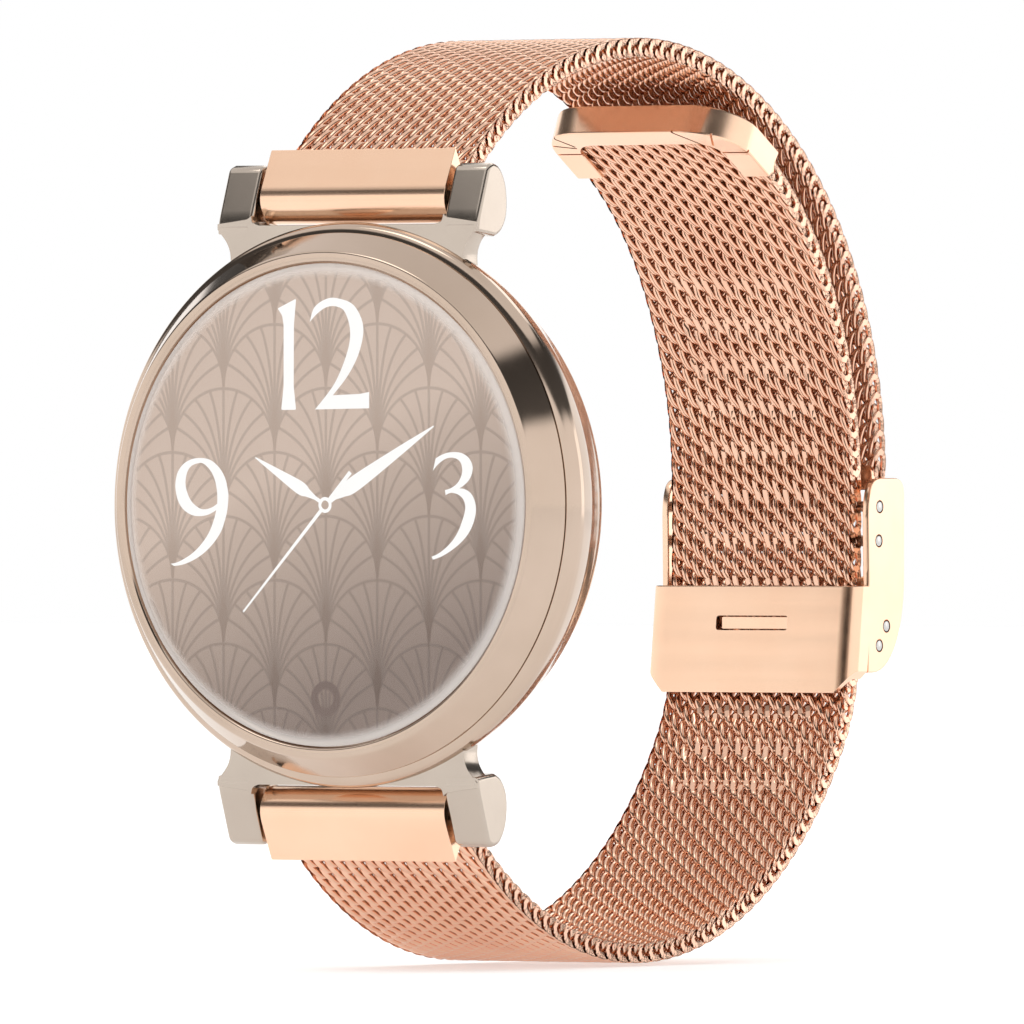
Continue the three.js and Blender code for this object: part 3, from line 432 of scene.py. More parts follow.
def turned(profile, segments=200):
    """Vertices and faces of a (radius, y) profile turned about Y; radius 0 points are on the axis."""
    verts, rings = [], []
    for radius, y in profile:
        first = len(verts)
        if radius < 1e-6:
            rings.append([first] * segments)
            verts.append((0, y, 0))
        else:
            rings.append(list(range(first, first + segments)))
            verts += along_y(circle((0, 0), radius, segments), y)
    pairs = list(zip(rings, rings[1:]))
    if profile[0][0] > 1e-6:
        pairs.append((rings[-1], rings[0]))
    faces = []
    for a, b in pairs:
        for k in range(segments):
            n = (k + 1) % segments
            corners = list(dict.fromkeys([a[k], a[n], b[n], b[k]]))
            if len(corners) > 2:
                faces.append(corners)
    return verts, faces


def along_x(outline, x):
    return [(x, p[0], p[1]) for p in outline]


def along_y(outline, y):
    return [(p[0], y, p[1]) for p in outline]


def prism_mesh(outline, low, high, lay, bevel=0.0, steps=3):
    """A bmesh prism of a flat outline between two levels, with rounded rims."""
    count = len(outline)
    build = bmesh.new()
    lower = [build.verts.new(Vector(p)) for p in lay(outline, low)]
    upper = [build.verts.new(Vector(p)) for p in lay(outline, high)]
    build.faces.new(lower)
    build.faces.new(upper)
    for i in range(count):
        n = (i + 1) % count
        build.faces.new((lower[i], lower[n], upper[n], upper[i]))
    bmesh.ops.recalc_face_normals(build, faces=build.faces)
    if bevel:
        rims = [e for e in build.edges
                if (e.verts[0] in lower) == (e.verts[1] in lower)]
        bmesh.ops.bevel(build, geom=rims, offset=bevel, segments=steps, profile=0.5,
                        affect="EDGES", clamp_overlap=True)
    return build


def mesh_of(name, builds):
    """One mesh in metres from one or more bmeshes."""
    verts, faces = [], []
    for build in builds:
        base = len(verts)
        build.verts.index_update()
        verts += [v.co * MM for v in build.verts]
        faces += [[base + v.index for v in f.verts] for f in build.faces]
        build.free()
    mesh = bpy.data.meshes.new(name)
    mesh.from_pydata(verts, [], faces)
    return mesh


def prism(*shape):
    """One mesh of one prism."""
    return mesh_of("prism", [prism_mesh(*shape)])


def combined(name, target, tools, operation="DIFFERENCE"):
    """A mesh with other meshes cut from it or joined to it."""
    base = bpy.data.objects.new(name + "_base", target)
    bpy.context.collection.objects.link(base)
    helpers = []
    for i, tool in enumerate(tools):
        helper = bpy.data.objects.new(f"{name}_tool_{i}", tool)
        bpy.context.collection.objects.link(helper)
        helpers.append(helper)
        modifier = base.modifiers.new(f"cut_{i}", "BOOLEAN")
        modifier.operation = operation
        modifier.solver = "EXACT"
        modifier.object = helper
    bpy.context.view_layer.update()
    result = bpy.data.meshes.new_from_object(base.evaluated_get(bpy.context.evaluated_depsgraph_get()))
    result.name = name
    for helper in [base, *helpers]:
        bpy.data.objects.remove(helper, do_unlink=True)
    return result


def circle(centre, radius, steps=32):
    return [(centre[0] + radius * math.cos(2 * math.pi * k / steps),
             centre[1] + radius * math.sin(2 * math.pi * k / steps)) for k in range(steps)]


def rectangle(left, right, middle, half):
    """Corners of a rectangle from its sides, its middle height and half its height."""
    return [(left, middle - half), (right, middle - half), (right, middle + half), (left, middle + half)]


def circle_about(name, radius, steps):
    """A circle round the middle of a CAD node, seen along Y."""
    low, high = node_box(name)
    return circle(((low[0] + high[0]) / 2, (low[2] + high[2]) / 2), radius, steps)


def rod(low_x, high_x, centre, radius, bevel=0.0):
    """A round bar across the strap."""
    return prism(circle(centre, radius), low_x, high_x, along_x, bevel, 2)


# ---------------- case, bezel, lens

SIDE_CURVE = ((0.7, 0), (0.28, 0.16), (0.05, 0.5), (0, 0.8), (0.04, 1.2), (0.35, 2.3), (0.8, 3.3),
              (1.22, 4.3))


def case_profile():
    """The case ring's section: a curved side that tapers to the back, and a stepped inside."""
    lip = COVER_HIGH[0] + 0.1
    side = [(CASE_RADIUS - inset, CASE_FRONT_Y + depth) for inset, depth in SIDE_CURVE]
    side += [(CASE_RADIUS - 1.55, CASE_BACK_Y - 1.8), (CASE_RADIUS - 2.15, CASE_BACK_Y - 0.75),
             (CASE_RADIUS - 2.65, CASE_BACK_Y - 0.1)]
    inside = [(lip, CASE_BACK_Y), (lip, CASE_BACK_Y - 0.9), (lip - 2, CASE_BACK_Y - 0.9),
              (lip - 2, CASE_BACK_Y - 1.6), (lip, CASE_BACK_Y - 1.8), (CASE_RADIUS - 1.75, CASE_BACK_Y - 2)]
    inside += [(CASE_RADIUS - inset, CASE_FRONT_Y + depth)
               for inset, depth in ((1.5, 2), (1.5, 0.7), (3.5, 0.7), (3.5, 0))]
    return spline(side, 6) + inside


def bezel_profile():
    front = BEZEL_LOW[1]
    ledge = BEZEL_BORE - 1.5
    corners = [(ledge, BEZEL_HIGH[1]), (BEZEL_RADIUS, BEZEL_HIGH[1]),
               (BEZEL_RADIUS + 0.05, BEZEL_HIGH[1] - 0.12), (BEZEL_TOP_RADIUS + 0.02, front + 0.12),
               (BEZEL_TOP_RADIUS - 0.1, front), (BEZEL_BORE + 0.1, front), (BEZEL_BORE, front + 0.1),
               (BEZEL_BORE, DISPLAY_HIGH[1] - 0.9), (ledge, DISPLAY_HIGH[1] - 0.9)]
    return rounded(corners, 0.08, 4)


def lens_profile():
    front = LENS_LOW[1]
    dome = [(0, front), (LENS_RADIUS * 0.5, front), (LENS_RADIUS - 2.4, front + 0.01),
            (LENS_RADIUS - 1.2, front + 0.07), (LENS_RADIUS - 0.45, front + 0.2),
            (LENS_RADIUS - 0.1, front + LENS_DOME - 0.05), (LENS_RADIUS, front + LENS_DOME + 0.02)]
    return spline(dome, 5) + [(LENS_RADIUS, front + LENS_DOME + 0.06), (0, front + LENS_DOME + 0.06)]


def lug_outline(side):
    """The side view of a lug: flush with the bracket, then leaning back, with a round back."""
    plane = BRACKET_FRONT_Y - BAR_Y - 0.01
    foot = (plane, -2.2)
    bend = (plane, -1.55)
    top = (-0.9, 1.95)
    back = spline([(-0.35, 2.15), (0.4, 1.9), (1.05, 1.0), (1.28, -0.2), (1.15, -1.3),
                   (0.6, -2.1), (-0.1, -2.45)], 5)
    outline = [foot, *rounded([foot, bend, top], 0.9, 6, False)[1:-1],
               *rounded([bend, top, back[0]], 0.3, 4, False)[1:-1], *back]
    return [(BAR_Y + y, side * (BAR_Z + z)) for y, z in outline]


def bracket_outline(side):
    base = math.sqrt(CASE_RADIUS ** 2 - BRACKET_NECK_X ** 2) - 1.5
    flare = BRACKET_TOP_Z - 0.35
    neck = spline([(BRACKET_NECK_X, BRACKET_NECK_Z - 0.9), (BRACKET_NECK_X - 0.02, BRACKET_NECK_Z),
                   (BRACKET_NECK_X + 0.25, flare - 0.75), (LUG_OUTER_X - 0.12, flare)], 6)
    shoulder = [(LUG_OUTER_X - 0.03, flare + 0.12), (LUG_OUTER_X - 0.03, BRACKET_TOP_Z + 0.1),
                (HALF_LUG_GAP + 0.3, BRACKET_TOP_Z + 0.4)]
    corner = spline([(HALF_LUG_GAP, BRACKET_TOP_Z + 0.6), (HALF_LUG_GAP - 0.14, BRACKET_TOP_Z + 0.18),
                     (HALF_LUG_GAP - 0.6, BRACKET_TOP_Z)], 6)
    right = [(BRACKET_NECK_X, base), *neck, *shoulder, *corner]
    left = [(-x, z) for x, z in reversed(right)]
    return [(x, side * z) for x, z in right + left]


def lug_frame(side, name):
    """The bracket plate at one end of the case and the two lugs that grow from it."""
    parts = [prism_mesh(bracket_outline(side), BRACKET_FRONT_Y, BRACKET_FRONT_Y + BRACKET_DEPTH,
                        along_y, 0.22, 3)]
    for low in (-LUG_OUTER_X, HALF_LUG_GAP):
        parts.append(prism_mesh(lug_outline(side), low, low + LUG_WIDTH, along_x, 0.26, 4))
    finish_piece(name, mesh_of(name, parts), LUG_METAL, "watch_head", (), 30)


def build_head():
    add_piece("case_shell", *turned(case_profile(), 256), CASE_METAL, "watch_head", ["case_body"], 40)
    lug_frame(1, "upper_lugs")
    lug_frame(-1, "lower_lugs")
    add_piece("bezel", *turned(bezel_profile(), 256), CASE_METAL, "watch_head", ["bezel_ring"], 40)
    add_piece("domed_lens", *turned(lens_profile(), 256), GLASS, "watch_head", ["lens"], 40)


# ---------------- dial

FAN_RADIUS = 3.9
FAN_ROW = 4.0
FAN_LINE = 0.19
FAN_RAYS = (0, 15.8, 34, 52.4, 68.2)
DIAL_RADIUS = LENS_RADIUS - 0.25
PATTERN_Y = DIAL_Y - 0.03
FIGURE_Y = DIAL_Y - 0.06
FIGURE_DEPTH = 0.012


def inside_dial(point):
    return math.hypot(point[0], point[1]) < DIAL_RADIUS - 0.15


def line_strips(points, width):
    """Quads along a flat polyline, left out where they would leave the dial."""
    quads = []
    for a, b in zip(points, points[1:]):
        if not (inside_dial(a) and inside_dial(b)):
            continue
        direction = (b - a) / max(np.linalg.norm(b - a), 1e-9)
        across = np.array([-direction[1], direction[0]]) * width / 2
        quads.append([a - across, b - across, b + across, a + across])
    return quads


def fan_lines(centre):
    """One fan: its upper arc and the rays that open from its foot."""
    lines = [[centre + FAN_RADIUS * np.array([math.cos(a), math.sin(a)])
              for a in np.linspace(0, math.pi, 33)]]
    foot = centre + np.array([0, -FAN_ROW + 0.1])
    for degrees in FAN_RAYS:
        for sign in (1, -1) if degrees else (1,):
            angle = math.radians(90 - sign * degrees)
            tip = centre + FAN_RADIUS * np.array([math.cos(angle), math.sin(angle)])
            bend = foot + np.array([(tip - foot)[0] * 0.08, (tip - foot)[1] * 0.72])
            steps = np.linspace(0, 1, 17)[:, None]
            lines.append(list((1 - steps) ** 2 * foot + 2 * steps * (1 - steps) * bend + steps ** 2 * tip))
    return lines


def dial_pattern():
    """Rows of fans, each row half a fan aside from the next."""
    quads = []
    for row in range(-5, 5):
        shift = 0 if row % 2 else FAN_RADIUS
        for column in range(-3, 4):
            centre = np.array([column * 2 * FAN_RADIUS + shift, row * FAN_ROW - 0.6])
            for line in fan_lines(centre):
                quads += line_strips(line, FAN_LINE)
    verts = [(p[0], PATTERN_Y, p[1]) for quad in quads for p in quad]
    return verts, [list(range(base, base + 4)) for base in range(0, len(verts), 4)]


def figure(name, outline, level=FIGURE_Y, material=WHITE_INK):
    """A thin flat piece of the lit dial."""
    build = prism_mesh(outline, level, level + FIGURE_DEPTH, along_y)
    finish_piece(name, mesh_of(name, [build]), material, "watch_head")


def moved(points, x, z):
    return [(p[0] + x, p[1] + z) for p in points]


def figure_one():
    return rounded([(1.1, 3.45), (-0.3, 2.85), (0.05, 2.4), (0.16, 1.8), (0.16, -2.0),
                    (-0.02, -3.5), (1.1, -3.5), (0.92, -2.0), (0.94, 1.8)], 0.1, 3)


def figure_two():
    outer = spline([(-2.2, 2.0), (-1.85, 2.9), (-0.95, 3.42), (-0.05, 3.45), (1.15, 3.0),
                    (1.85, 1.7), (1.55, 0.1), (0.7, -1.35), (-0.45, -2.6)], 6)
    base = [(1.6, -2.52), (2.3, -2.4), (2.3, -3.42), (-1.8, -3.48)]
    inner = spline([(-1.8, -3.48), (-0.3, -1.83), (0.65, 0.1), (0.86, 1.44), (0.46, 2.6),
                    (-0.2, 2.95), (-0.95, 2.9), (-1.65, 2.5), (-2.2, 2.0)], 6)
    return [*outer, *base, *inner[1:-1]]


def figure_three():
    top = spline([(-1.44, 2.9), (-0.98, 3.12), (-0.52, 3.25), (0, 3.29), (0.52, 3.22), (0.98, 2.98),
                  (1.24, 2.65), (1.34, 2.28), (1.24, 1.84), (0.98, 1.46), (0.59, 1.16), (0.33, 1.03)], 4)
    right = spline([(0.33, 1.03), (0.65, 1.0), (1.05, 0.84), (1.37, 0.51), (1.57, -0.05), (1.54, -0.65),
                    (1.31, -1.3), (0.92, -1.9), (0.33, -2.44), (-0.33, -2.87), (-0.98, -3.2),
                    (-1.64, -3.41)], 4)
    inner = spline([(-1.75, -3.22), (-1.24, -3.03), (-0.65, -2.65), (-0.13, -2.17), (0.26, -1.63),
                    (0.52, -1.08), (0.72, -0.54), (0.79, -0.11), (0.65, 0.33), (0.33, 0.6), (0, 0.72),
                    (-0.33, 0.75), (-0.69, 0.62)], 4)
    bowl = spline([(-0.74, 0.92), (-0.33, 1.03), (0.07, 1.25), (0.33, 1.52), (0.52, 1.9), (0.56, 2.22),
                   (0.46, 2.6), (0.2, 2.84), (-0.2, 2.94), (-0.59, 2.9), (-0.92, 2.76), (-1.31, 2.49),
                   (-1.64, 2.14)], 4)
    return [*top, *right[1:], *inner, *bowl]


def nine_outline():
    """The outer edge of the figure 9."""
    tail = spline([(-2.34, -3.29), (-1.76, -3.17), (-0.88, -2.75), (-0.14, -2.19), (0.54, -1.4),
                   (0.95, -0.56), (1.15, 0.08)], 4)
    bowl = spline([(1.15, 0.08), (0.54, -0.2), (-0.14, -0.3), (-0.75, -0.22), (-1.36, 0.11),
                   (-1.76, 0.62), (-1.95, 1.24), (-1.98, 1.8), (-1.8, 2.47), (-1.36, 2.98),
                   (-0.75, 3.27), (-0.07, 3.35), (0.68, 3.23), (1.36, 2.75), (1.8, 2.13), (2, 1.46),
                   (2.07, 0.9), (1.97, 0), (1.76, -0.67), (1.49, -1.29), (0.95, -1.97), (0.27, -2.56),
                   (-0.54, -3.03), (-1.42, -3.34), (-2.1, -3.43)], 4)
    return [*tail, *bowl[1:]]


def nine_eye():
    """The inner edge of the figure 9."""
    return spline([(1.22, 0.48), (0.81, 0.25), (0.27, 0.13), (-0.2, 0.22), (-0.75, 0.62), (-1.08, 1.18),
                   (-1.22, 1.8), (-1.08, 2.47), (-0.75, 2.86), (-0.2, 3.03), (0.2, 2.98), (0.68, 2.58),
                   (1.02, 2.02), (1.19, 1.35), (1.23, 0.84)], 4)


HOUR_ANGLE = -60.9
MINUTE_ANGLE = 59.1
SECOND_ANGLE = 223


def swung(points, angle):
    """Points turned about the dial's centre by an angle clockwise from 12."""
    turn = math.radians(-angle)
    return [(x * math.cos(turn) - z * math.sin(turn), x * math.sin(turn) + z * math.cos(turn))
            for x, z in points]


def hand_outline(angle, length, half_width, stem):
    """A leaf-shaped hand with a thin stem."""
    shape = [(-0.12, 0), (-0.12, stem * 0.6), (-half_width * 0.6, stem), (-half_width, stem + length * 0.12),
             (-half_width * 0.55, length * 0.7), (-0.04, length)]
    left = [shape[0], *spline(shape[1:], 6)]
    return swung(left + [(-x, z) for x, z in reversed(left)], angle)


def ring_faces(outer, inner, y, segments, x=0.0, z=0.0):
    """A flat ring that faces along Y."""
    verts = along_y(circle((x, z), outer, segments) + circle((x, z), inner, segments), y)
    turns = [(k, (k + 1) % segments) for k in range(segments)]
    return verts, [[k, n, segments + n, segments + k] for k, n in turns]


def build_dial():
    face = [(0, DIAL_Y), (DIAL_RADIUS, DIAL_Y), (DIAL_RADIUS, DISPLAY_HIGH[1] - 0.95),
            (0, DISPLAY_HIGH[1] - 0.95)]
    add_piece("dial_face", *turned(face, 128), DIAL, "watch_head", ["display_panel"], 40)
    add_piece("dial_pattern", *dial_pattern(), PATTERN_INK, "watch_head")
    figure("figure_12_one", moved(figure_one(), -3.35, 9.45))
    figure("figure_12_two", moved(figure_two(), 1.0, 9.45))
    figure("figure_3", moved(figure_three(), 9.77, 0.0))
    nine = prism(moved(nine_outline(), -9.48, -0.4), FIGURE_Y, FIGURE_Y + FIGURE_DEPTH, along_y)
    eye = prism(moved(nine_eye(), -9.48, -0.4), FIGURE_Y - 1, FIGURE_Y + 1, along_y)
    finish_piece("figure_9", combined("figure_9", nine, [eye]), WHITE_INK, "watch_head")
    figure("hour_hand", hand_outline(HOUR_ANGLE, 6.1, 0.42, 1.5), FIGURE_Y - 0.015)
    figure("minute_hand", hand_outline(MINUTE_ANGLE, 9.55, 0.5, 1.5), FIGURE_Y - 0.03)
    add_seconds_hand()
    add_piece("touch_ring", *ring_faces(1.1, 0.6, FIGURE_Y, 48, 0, -12.1), TOUCH_INK, "watch_head")


def add_seconds_hand():
    needle = [(-0.14, -2.8), (-0.06, 9.15), (0.06, 9.15), (0.14, -2.8)]
    figure("seconds_hand", swung(needle, SECOND_ANGLE), FIGURE_Y - 0.045)
    add_piece("hand_hub", *ring_faces(0.5, 0.28, FIGURE_Y - 0.06, 40), WHITE_INK, "watch_head")
    figure("hub_centre", circle((0, 0), 0.27, 32), FIGURE_Y - 0.06, DIAL)


# ---------------- case back

SCREW_SEAT = 0.35


def cover_profile():
    bore = WINDOW_HIGH[0] + 0.1
    outer = COVER_HIGH[0]
    ledge = WINDOW_LOW[1] - 0.05
    corners = [(bore - 0.8, COVER_LOW[1]), (outer, COVER_LOW[1]), (outer, COVER_SHELF_Y),
               (bore + 3.6, COVER_SHELF_Y), (bore + 2, -0.45), (bore, -0.35), (bore, ledge),
               (bore - 0.8, ledge)]
    return rounded(corners, 0.12, 3)


def build_back():
    """The cover with its seats, holes and ports, and what sits in them."""
    cover = mesh_from(turned(cover_profile(), 160), "cover")
    under = COVER_LOW[1] - 1
    tools = []
    for i in range(1, 5):
        screw, contact = f"back_screw_{i}", f"charge_contact_{i}"
        seat = node_box(screw)[1][1] - SCREW_SEAT
        tools.append(prism(circle_about(screw, 1.0, 40), seat, 1, along_y))
        tools.append(prism(circle_about(screw, 0.6, 24), under, 0, along_y))
        tools.append(prism(circle_about(contact, 0.6, 32), under, 1, along_y))
        add_contact(f"contact_{i}", contact)
    finish_piece("back_plate", combined("back_plate", cover, tools), BACK_METAL, "watch_head",
                 ["back_cover"], 30)
    for i in range(1, 5):
        add_screw(i, f"back_screw_{i}")
    window = rounded([(0, WINDOW_LOW[1]), (WINDOW_HIGH[0], WINDOW_LOW[1]), (WINDOW_HIGH[0], -0.32),
                      (WINDOW_HIGH[0] - 0.5, 0), (0, 0)], 0.15, 3, False)
    add_piece("heart_rate_window", *turned(window, 128), WINDOW, "watch_head", ["sensor_window"], 40)


def add_contact(name, node):
    low, high = node_box(node)
    stud = prism(circle_about(node, 0.55, 32), low[1], high[1], along_y, 0.08, 3)
    finish_piece(name, stud, GOLD, "watch_head", [node])


def add_screw(index, node):
    """A screw head with a cross slot, and its shank."""
    low, high = node_box(node)
    x, z = (low[0] + high[0]) / 2, (low[2] + high[2]) / 2
    head = prism(circle_about(node, 0.9, 40), high[1] - 0.3, high[1], along_y, 0.07, 3)
    slots = [prism(rectangle(x - wide, x + wide, z, tall), high[1] - 0.16, high[1] + 1, along_y)
             for wide, tall in ((0.55, 0.13), (0.13, 0.55))]
    shank = prism(circle_about(node, 0.5, 24), low[1], high[1] - 0.28, along_y)
    finish_piece(f"cover_screw_{index}", combined(node, head, slots), STEEL, "watch_head", [node])
    finish_piece(f"screw_shank_{index}", shank, STEEL, "watch_head")


# ---------------- strap routes

def arc_points(centre, radius, start, end, step=0.1):
    count = max(8, int(abs(end - start) * radius / step))
    angles = np.linspace(start, end, count)
    return centre + radius * np.column_stack([np.cos(angles), np.sin(angles)])


def top_route():
    start = math.atan2(*(TOP_START - TOP_CENTRE)[::-1])
    end = math.asin((TOP_END_Z - TOP_CENTRE[1]) / TOP_RADIUS)
    return arc_points(TOP_CENTRE, TOP_RADIUS, start, end)


def bottom_route():
    start = math.atan2(*(BOTTOM_START - BOTTOM_CENTRE)[::-1])
    cross = math.asin((CROSSOVER_START_Z - BOTTOM_CENTRE[1]) / BOTTOM_RADIUS)
    tail = math.asin((TAIL_START_Z - TOP_CENTRE[1]) / TAIL_RADIUS)
    first = arc_points(BOTTOM_CENTRE, BOTTOM_RADIUS, start, cross)
    last = arc_points(TOP_CENTRE, TAIL_RADIUS, tail, TAIL_END_ANGLE)
    leave = np.array([-math.sin(cross), math.cos(cross)])
    arrive = np.array([-math.sin(tail), math.cos(tail)])
    p0, p3 = first[-1], last[0]
    p1, p2 = p0 + leave * CROSSOVER_HANDLE, p3 - arrive * TAIL_HANDLE
    return np.vstack([first, bezier(p0, p1, p2, p3, 180)[1:-1], last])


class Route:
    """A curve in the Y-Z plane measured by its own length, with its outward side."""

    def __init__(self, points, outward, lifts=()):
        self.lifts = lifts
        steps = np.linalg.norm(np.diff(points, axis=0), axis=1)
        self.points = points
        self.at = np.concatenate([[0], np.cumsum(steps)])
        self.length = float(self.at[-1])
        along = np.gradient(points, self.at, axis=0)
        along /= np.linalg.norm(along, axis=1)[:, None]
        self.along = along
        self.normal = outward * np.column_stack([along[:, 1], -along[:, 0]])

    def sample(self, distance, table):
        return np.column_stack([np.interp(distance, self.at, table[:, i]) for i in (0, 1)])

    def place(self, x, distance, height):
        """World positions of points given across, along and above the route."""
        inside = np.clip(distance, 0, self.length)
        spare = (distance - inside)[:, None]
        for start, reach, amount in self.lifts:
            share = np.clip((inside - start) / reach, 0, 1)
            height = height + amount * share * share * (3 - 2 * share)
        middle = self.sample(inside, self.points) + spare * self.sample(inside, self.along)
        flat = middle + height[:, None] * self.sample(inside, self.normal)
        return np.column_stack([x, flat])


TOP_ROUTE = Route(top_route(), -1)
BOTTOM_POINTS = bottom_route()
TAIL_LENGTH = TAIL_RADIUS * (TAIL_END_ANGLE - math.asin((TAIL_START_Z - TOP_CENTRE[1]) / TAIL_RADIUS))
TAIL_START = Route(BOTTOM_POINTS, 1).length - TAIL_LENGTH
BOTTOM_ROUTE = Route(BOTTOM_POINTS, 1, [(TAIL_START - 8, 7, TAIL_LIFT), (TAIL_START + 6, 14, TIP_LIFT)])


# ---------------- woven wire

def coil_path(row):
    """The centre line of one coil across the strap: x, distance from its row, and height."""
    overhang = 0.5 * TURN_PITCH
    turns = (2 * HALF_STRAP + 2 * overhang) / TURN_PITCH
    turned_by = np.arange(0, turns * 2 * math.pi, 2 * math.pi / TURN_STEPS)
    across = turned_by * TURN_PITCH / (2 * math.pi)
    angle = turned_by + math.pi * (row % 2)
    x = -HALF_STRAP - overhang + across - COIL_BOW * np.sin(angle)
    height = -COIL_HEIGHT * np.sign(np.sin(angle)) * np.abs(np.sin(angle)) ** 0.85
    return np.column_stack([x, COIL_REACH * np.cos(angle), height])


def tube_around(path):
    """Rings of vertices round a path, and the faces between them."""
    tangent = np.gradient(path, axis=0)
    tangent /= np.linalg.norm(tangent, axis=1)[:, None]
    side = np.cross(tangent, [1.0, 0, 0])
    side /= np.linalg.norm(side, axis=1)[:, None]
    up = np.cross(side, tangent)
    rings = []
    for k in range(WIRE_SIDES):
        angle = 2 * math.pi * k / WIRE_SIDES
        rings.append(path + WIRE_RADIUS * (math.cos(angle) * side + math.sin(angle) * up))
    return np.stack(rings, axis=1).reshape(-1, 3), swept_faces(len(path), WIRE_SIDES)


def polish(local, row_centre, notches, row, half_width, limit):
    """Flattens the wire at the ground edges, the worn faces and the clasp's notch rows."""
    x, offset, height = local[:, 0], local[:, 1], local[:, 2]
    edge = half_width - 0.03 - 0.12 * (offset + COIL_REACH) / (2 * COIL_REACH) - 0.05 * (row % 2)
    flat = np.abs(x) > edge
    x = np.clip(x, -edge, edge)
    face = BAND_THICKNESS / 2
    distance = np.clip(row_centre + offset, 0, limit)
    floor = np.full(len(x), -face)
    for notch in notches:
        here = (np.abs(distance - notch) < NOTCH_LENGTH / 2) & (np.abs(x) < NOTCH_WIDTH / 2)
        floor = np.where(here, -face + NOTCH_DEPTH, floor)
    worn = height < floor
    return x, distance, np.clip(height, floor, face), flat, worn


def woven_band(name, route, start, end, body, replaced, notches=(), tip=None):
    """Rows of wire coils along a route; faces ground flat are shaded flat."""
    rows = int((end - start) / ROW_PITCH)
    shapes = [tube_around(coil_path(row)) for row in (0, 1)]
    verts, faces, flats = [], [], []
    base = 0
    for row in range(rows + 1):
        local, local_faces = shapes[row % 2]
        centre = start + row * ROW_PITCH
        near = [n for n in notches if abs(n - centre) < 3]
        half = HALF_STRAP if tip is None else tip(centre + COIL_REACH)
        x, distance, height, flat, worn = polish(local, centre, near, row, half, end)
        verts.append(route.place(x, distance, height))
        flats += [bool(flat[face].all() or worn[face].all()) for face in map(list, local_faces)]
        faces += [[base + i for i in face] for face in local_faces]
        base += len(local)
    band = add_piece(name, np.vstack(verts), faces, ROSE_WIRE, body, replaced, 180)
    band.data.polygons.foreach_set("use_smooth", [not flat for flat in flats])
    return band


def tail_half_width(distance):
    """Half the weave's width near its tail, where it follows the cap's rounded corners."""
    to_tip = BOTTOM_ROUTE.length + CAP_OVERHANG - distance
    if to_tip >= CAP_CORNER:
        return HALF_STRAP
    drop = CAP_CORNER - max(to_tip, 0)
    return min(HALF_STRAP, CAP_HALF - 0.5 - CAP_CORNER + math.sqrt(max(CAP_CORNER ** 2 - drop ** 2, 0)))


def build_bands():
    woven_band("top_woven_strap", TOP_ROUTE, 0.2, TOP_ROUTE.length + 0.8, "top_strap", ["top_mesh_band"])
    first_notch = BOTTOM_ROUTE.length - TAIL_EXTRA - FIRST_NOTCH_FROM_TIP
    notches = [first_notch - i * NOTCH_PITCH for i in range(NOTCH_COUNT)]
    woven_band("bottom_woven_strap", BOTTOM_ROUTE, 0.2, BOTTOM_ROUTE.length, "bottom_strap",
               ["bottom_mesh_band"], notches, tail_half_width)


# ---------------- end links

def link_outline(side):
    """A flat front plate that wraps round the bar and comes back behind the weave."""
    along = np.array([math.sin(LINK_LEAN), math.cos(LINK_LEAN)])
    front = np.array([-math.cos(LINK_LEAN), math.sin(LINK_LEAN)])
    points = [along * LINK_PLATE_LENGTH + front * LINK_TUBE_RADIUS]
    for degrees in range(0, 181, 12):
        turn = math.radians(degrees)
        points.append(LINK_TUBE_RADIUS * (math.cos(turn) * front - math.sin(turn) * along))
    points.append(along * 0.8 + front * LINK_BACK_OFFSET)
    points.append(along * (LINK_PLATE_LENGTH + 0.4) + front * LINK_BACK_OFFSET)
    points.append(along * (LINK_PLATE_LENGTH + 0.4) + front * (LINK_BACK_OFFSET + 0.25))
    points.append(along * (LINK_PLATE_LENGTH - 1.1) + front * 0.25)
    outline = rounded(points, 0.15, 3)
    return [(BAR_Y + p[0], side * (BAR_Z + p[1])) for p in outline]


def add_end_link(side, prefix, body, route):
    link = prism(link_outline(side), -HALF_STRAP, HALF_STRAP, along_x, 0.12, 3)
    socket = mesh_of("socket", [route_prism(route, -0.1, 5, BAND_THICKNESS + 0.16, HALF_STRAP + 1)])
    bore = rod(-HALF_STRAP - 1, HALF_STRAP + 1, (BAR_Y, side * BAR_Z), BAR_BORE)
    link = combined("link", link, [socket, bore])
    finish_piece(f"{prefix}_link_plate", link, ROSE_METAL, body, [f"{prefix}_end_link"], 30)


def route_prism(route, start, end, thickness, half_width, steps=24):
    """A flat bar bent along a route."""
    distance = np.linspace(start, end, steps)
    upper = route.place(np.zeros(steps), distance, np.full(steps, thickness / 2))[:, 1:]
    lower = route.place(np.zeros(steps), distance, np.full(steps, -thickness / 2))[:, 1:]
    outline = [*upper, *lower[::-1]]
    return prism_mesh(outline, -half_width, half_width, along_x)


# ---------------- tip cap

CAP_LENGTH = 6
CAP_THICKNESS = BAND_THICKNESS + 0.7
CAP_LIP = 2
CAP_OVERHANG = 0.6
CAP_CORNER = 3.4
CAP_HALF = HALF_STRAP + 0.4


def cap_rail():
    """The outline of the cap's rim from one end to the other: across, and back from its tip."""
    corner = [(CAP_HALF - CAP_CORNER * (1 - math.cos(a)), -CAP_CORNER * (1 - math.sin(a)))
              for a in np.linspace(0, math.pi / 2, 10)]
    right = [(CAP_HALF, -CAP_LENGTH), (CAP_HALF, -CAP_CORNER), *corner]
    return right + [(-x, d) for x, d in reversed(right)]


CAP_SEAMS = ((-6.4, -0.5, -5.3, -2.1), (-7.4, -1.8, -5.3, -2.3), (-7.6, -3.1, -5.3, -3.1),
             (3.2, 0.2, 4.6, -2.1), (6.1, -0.4, 5.3, -2.1), (7.6, -3.1, 5.3, -3.1))


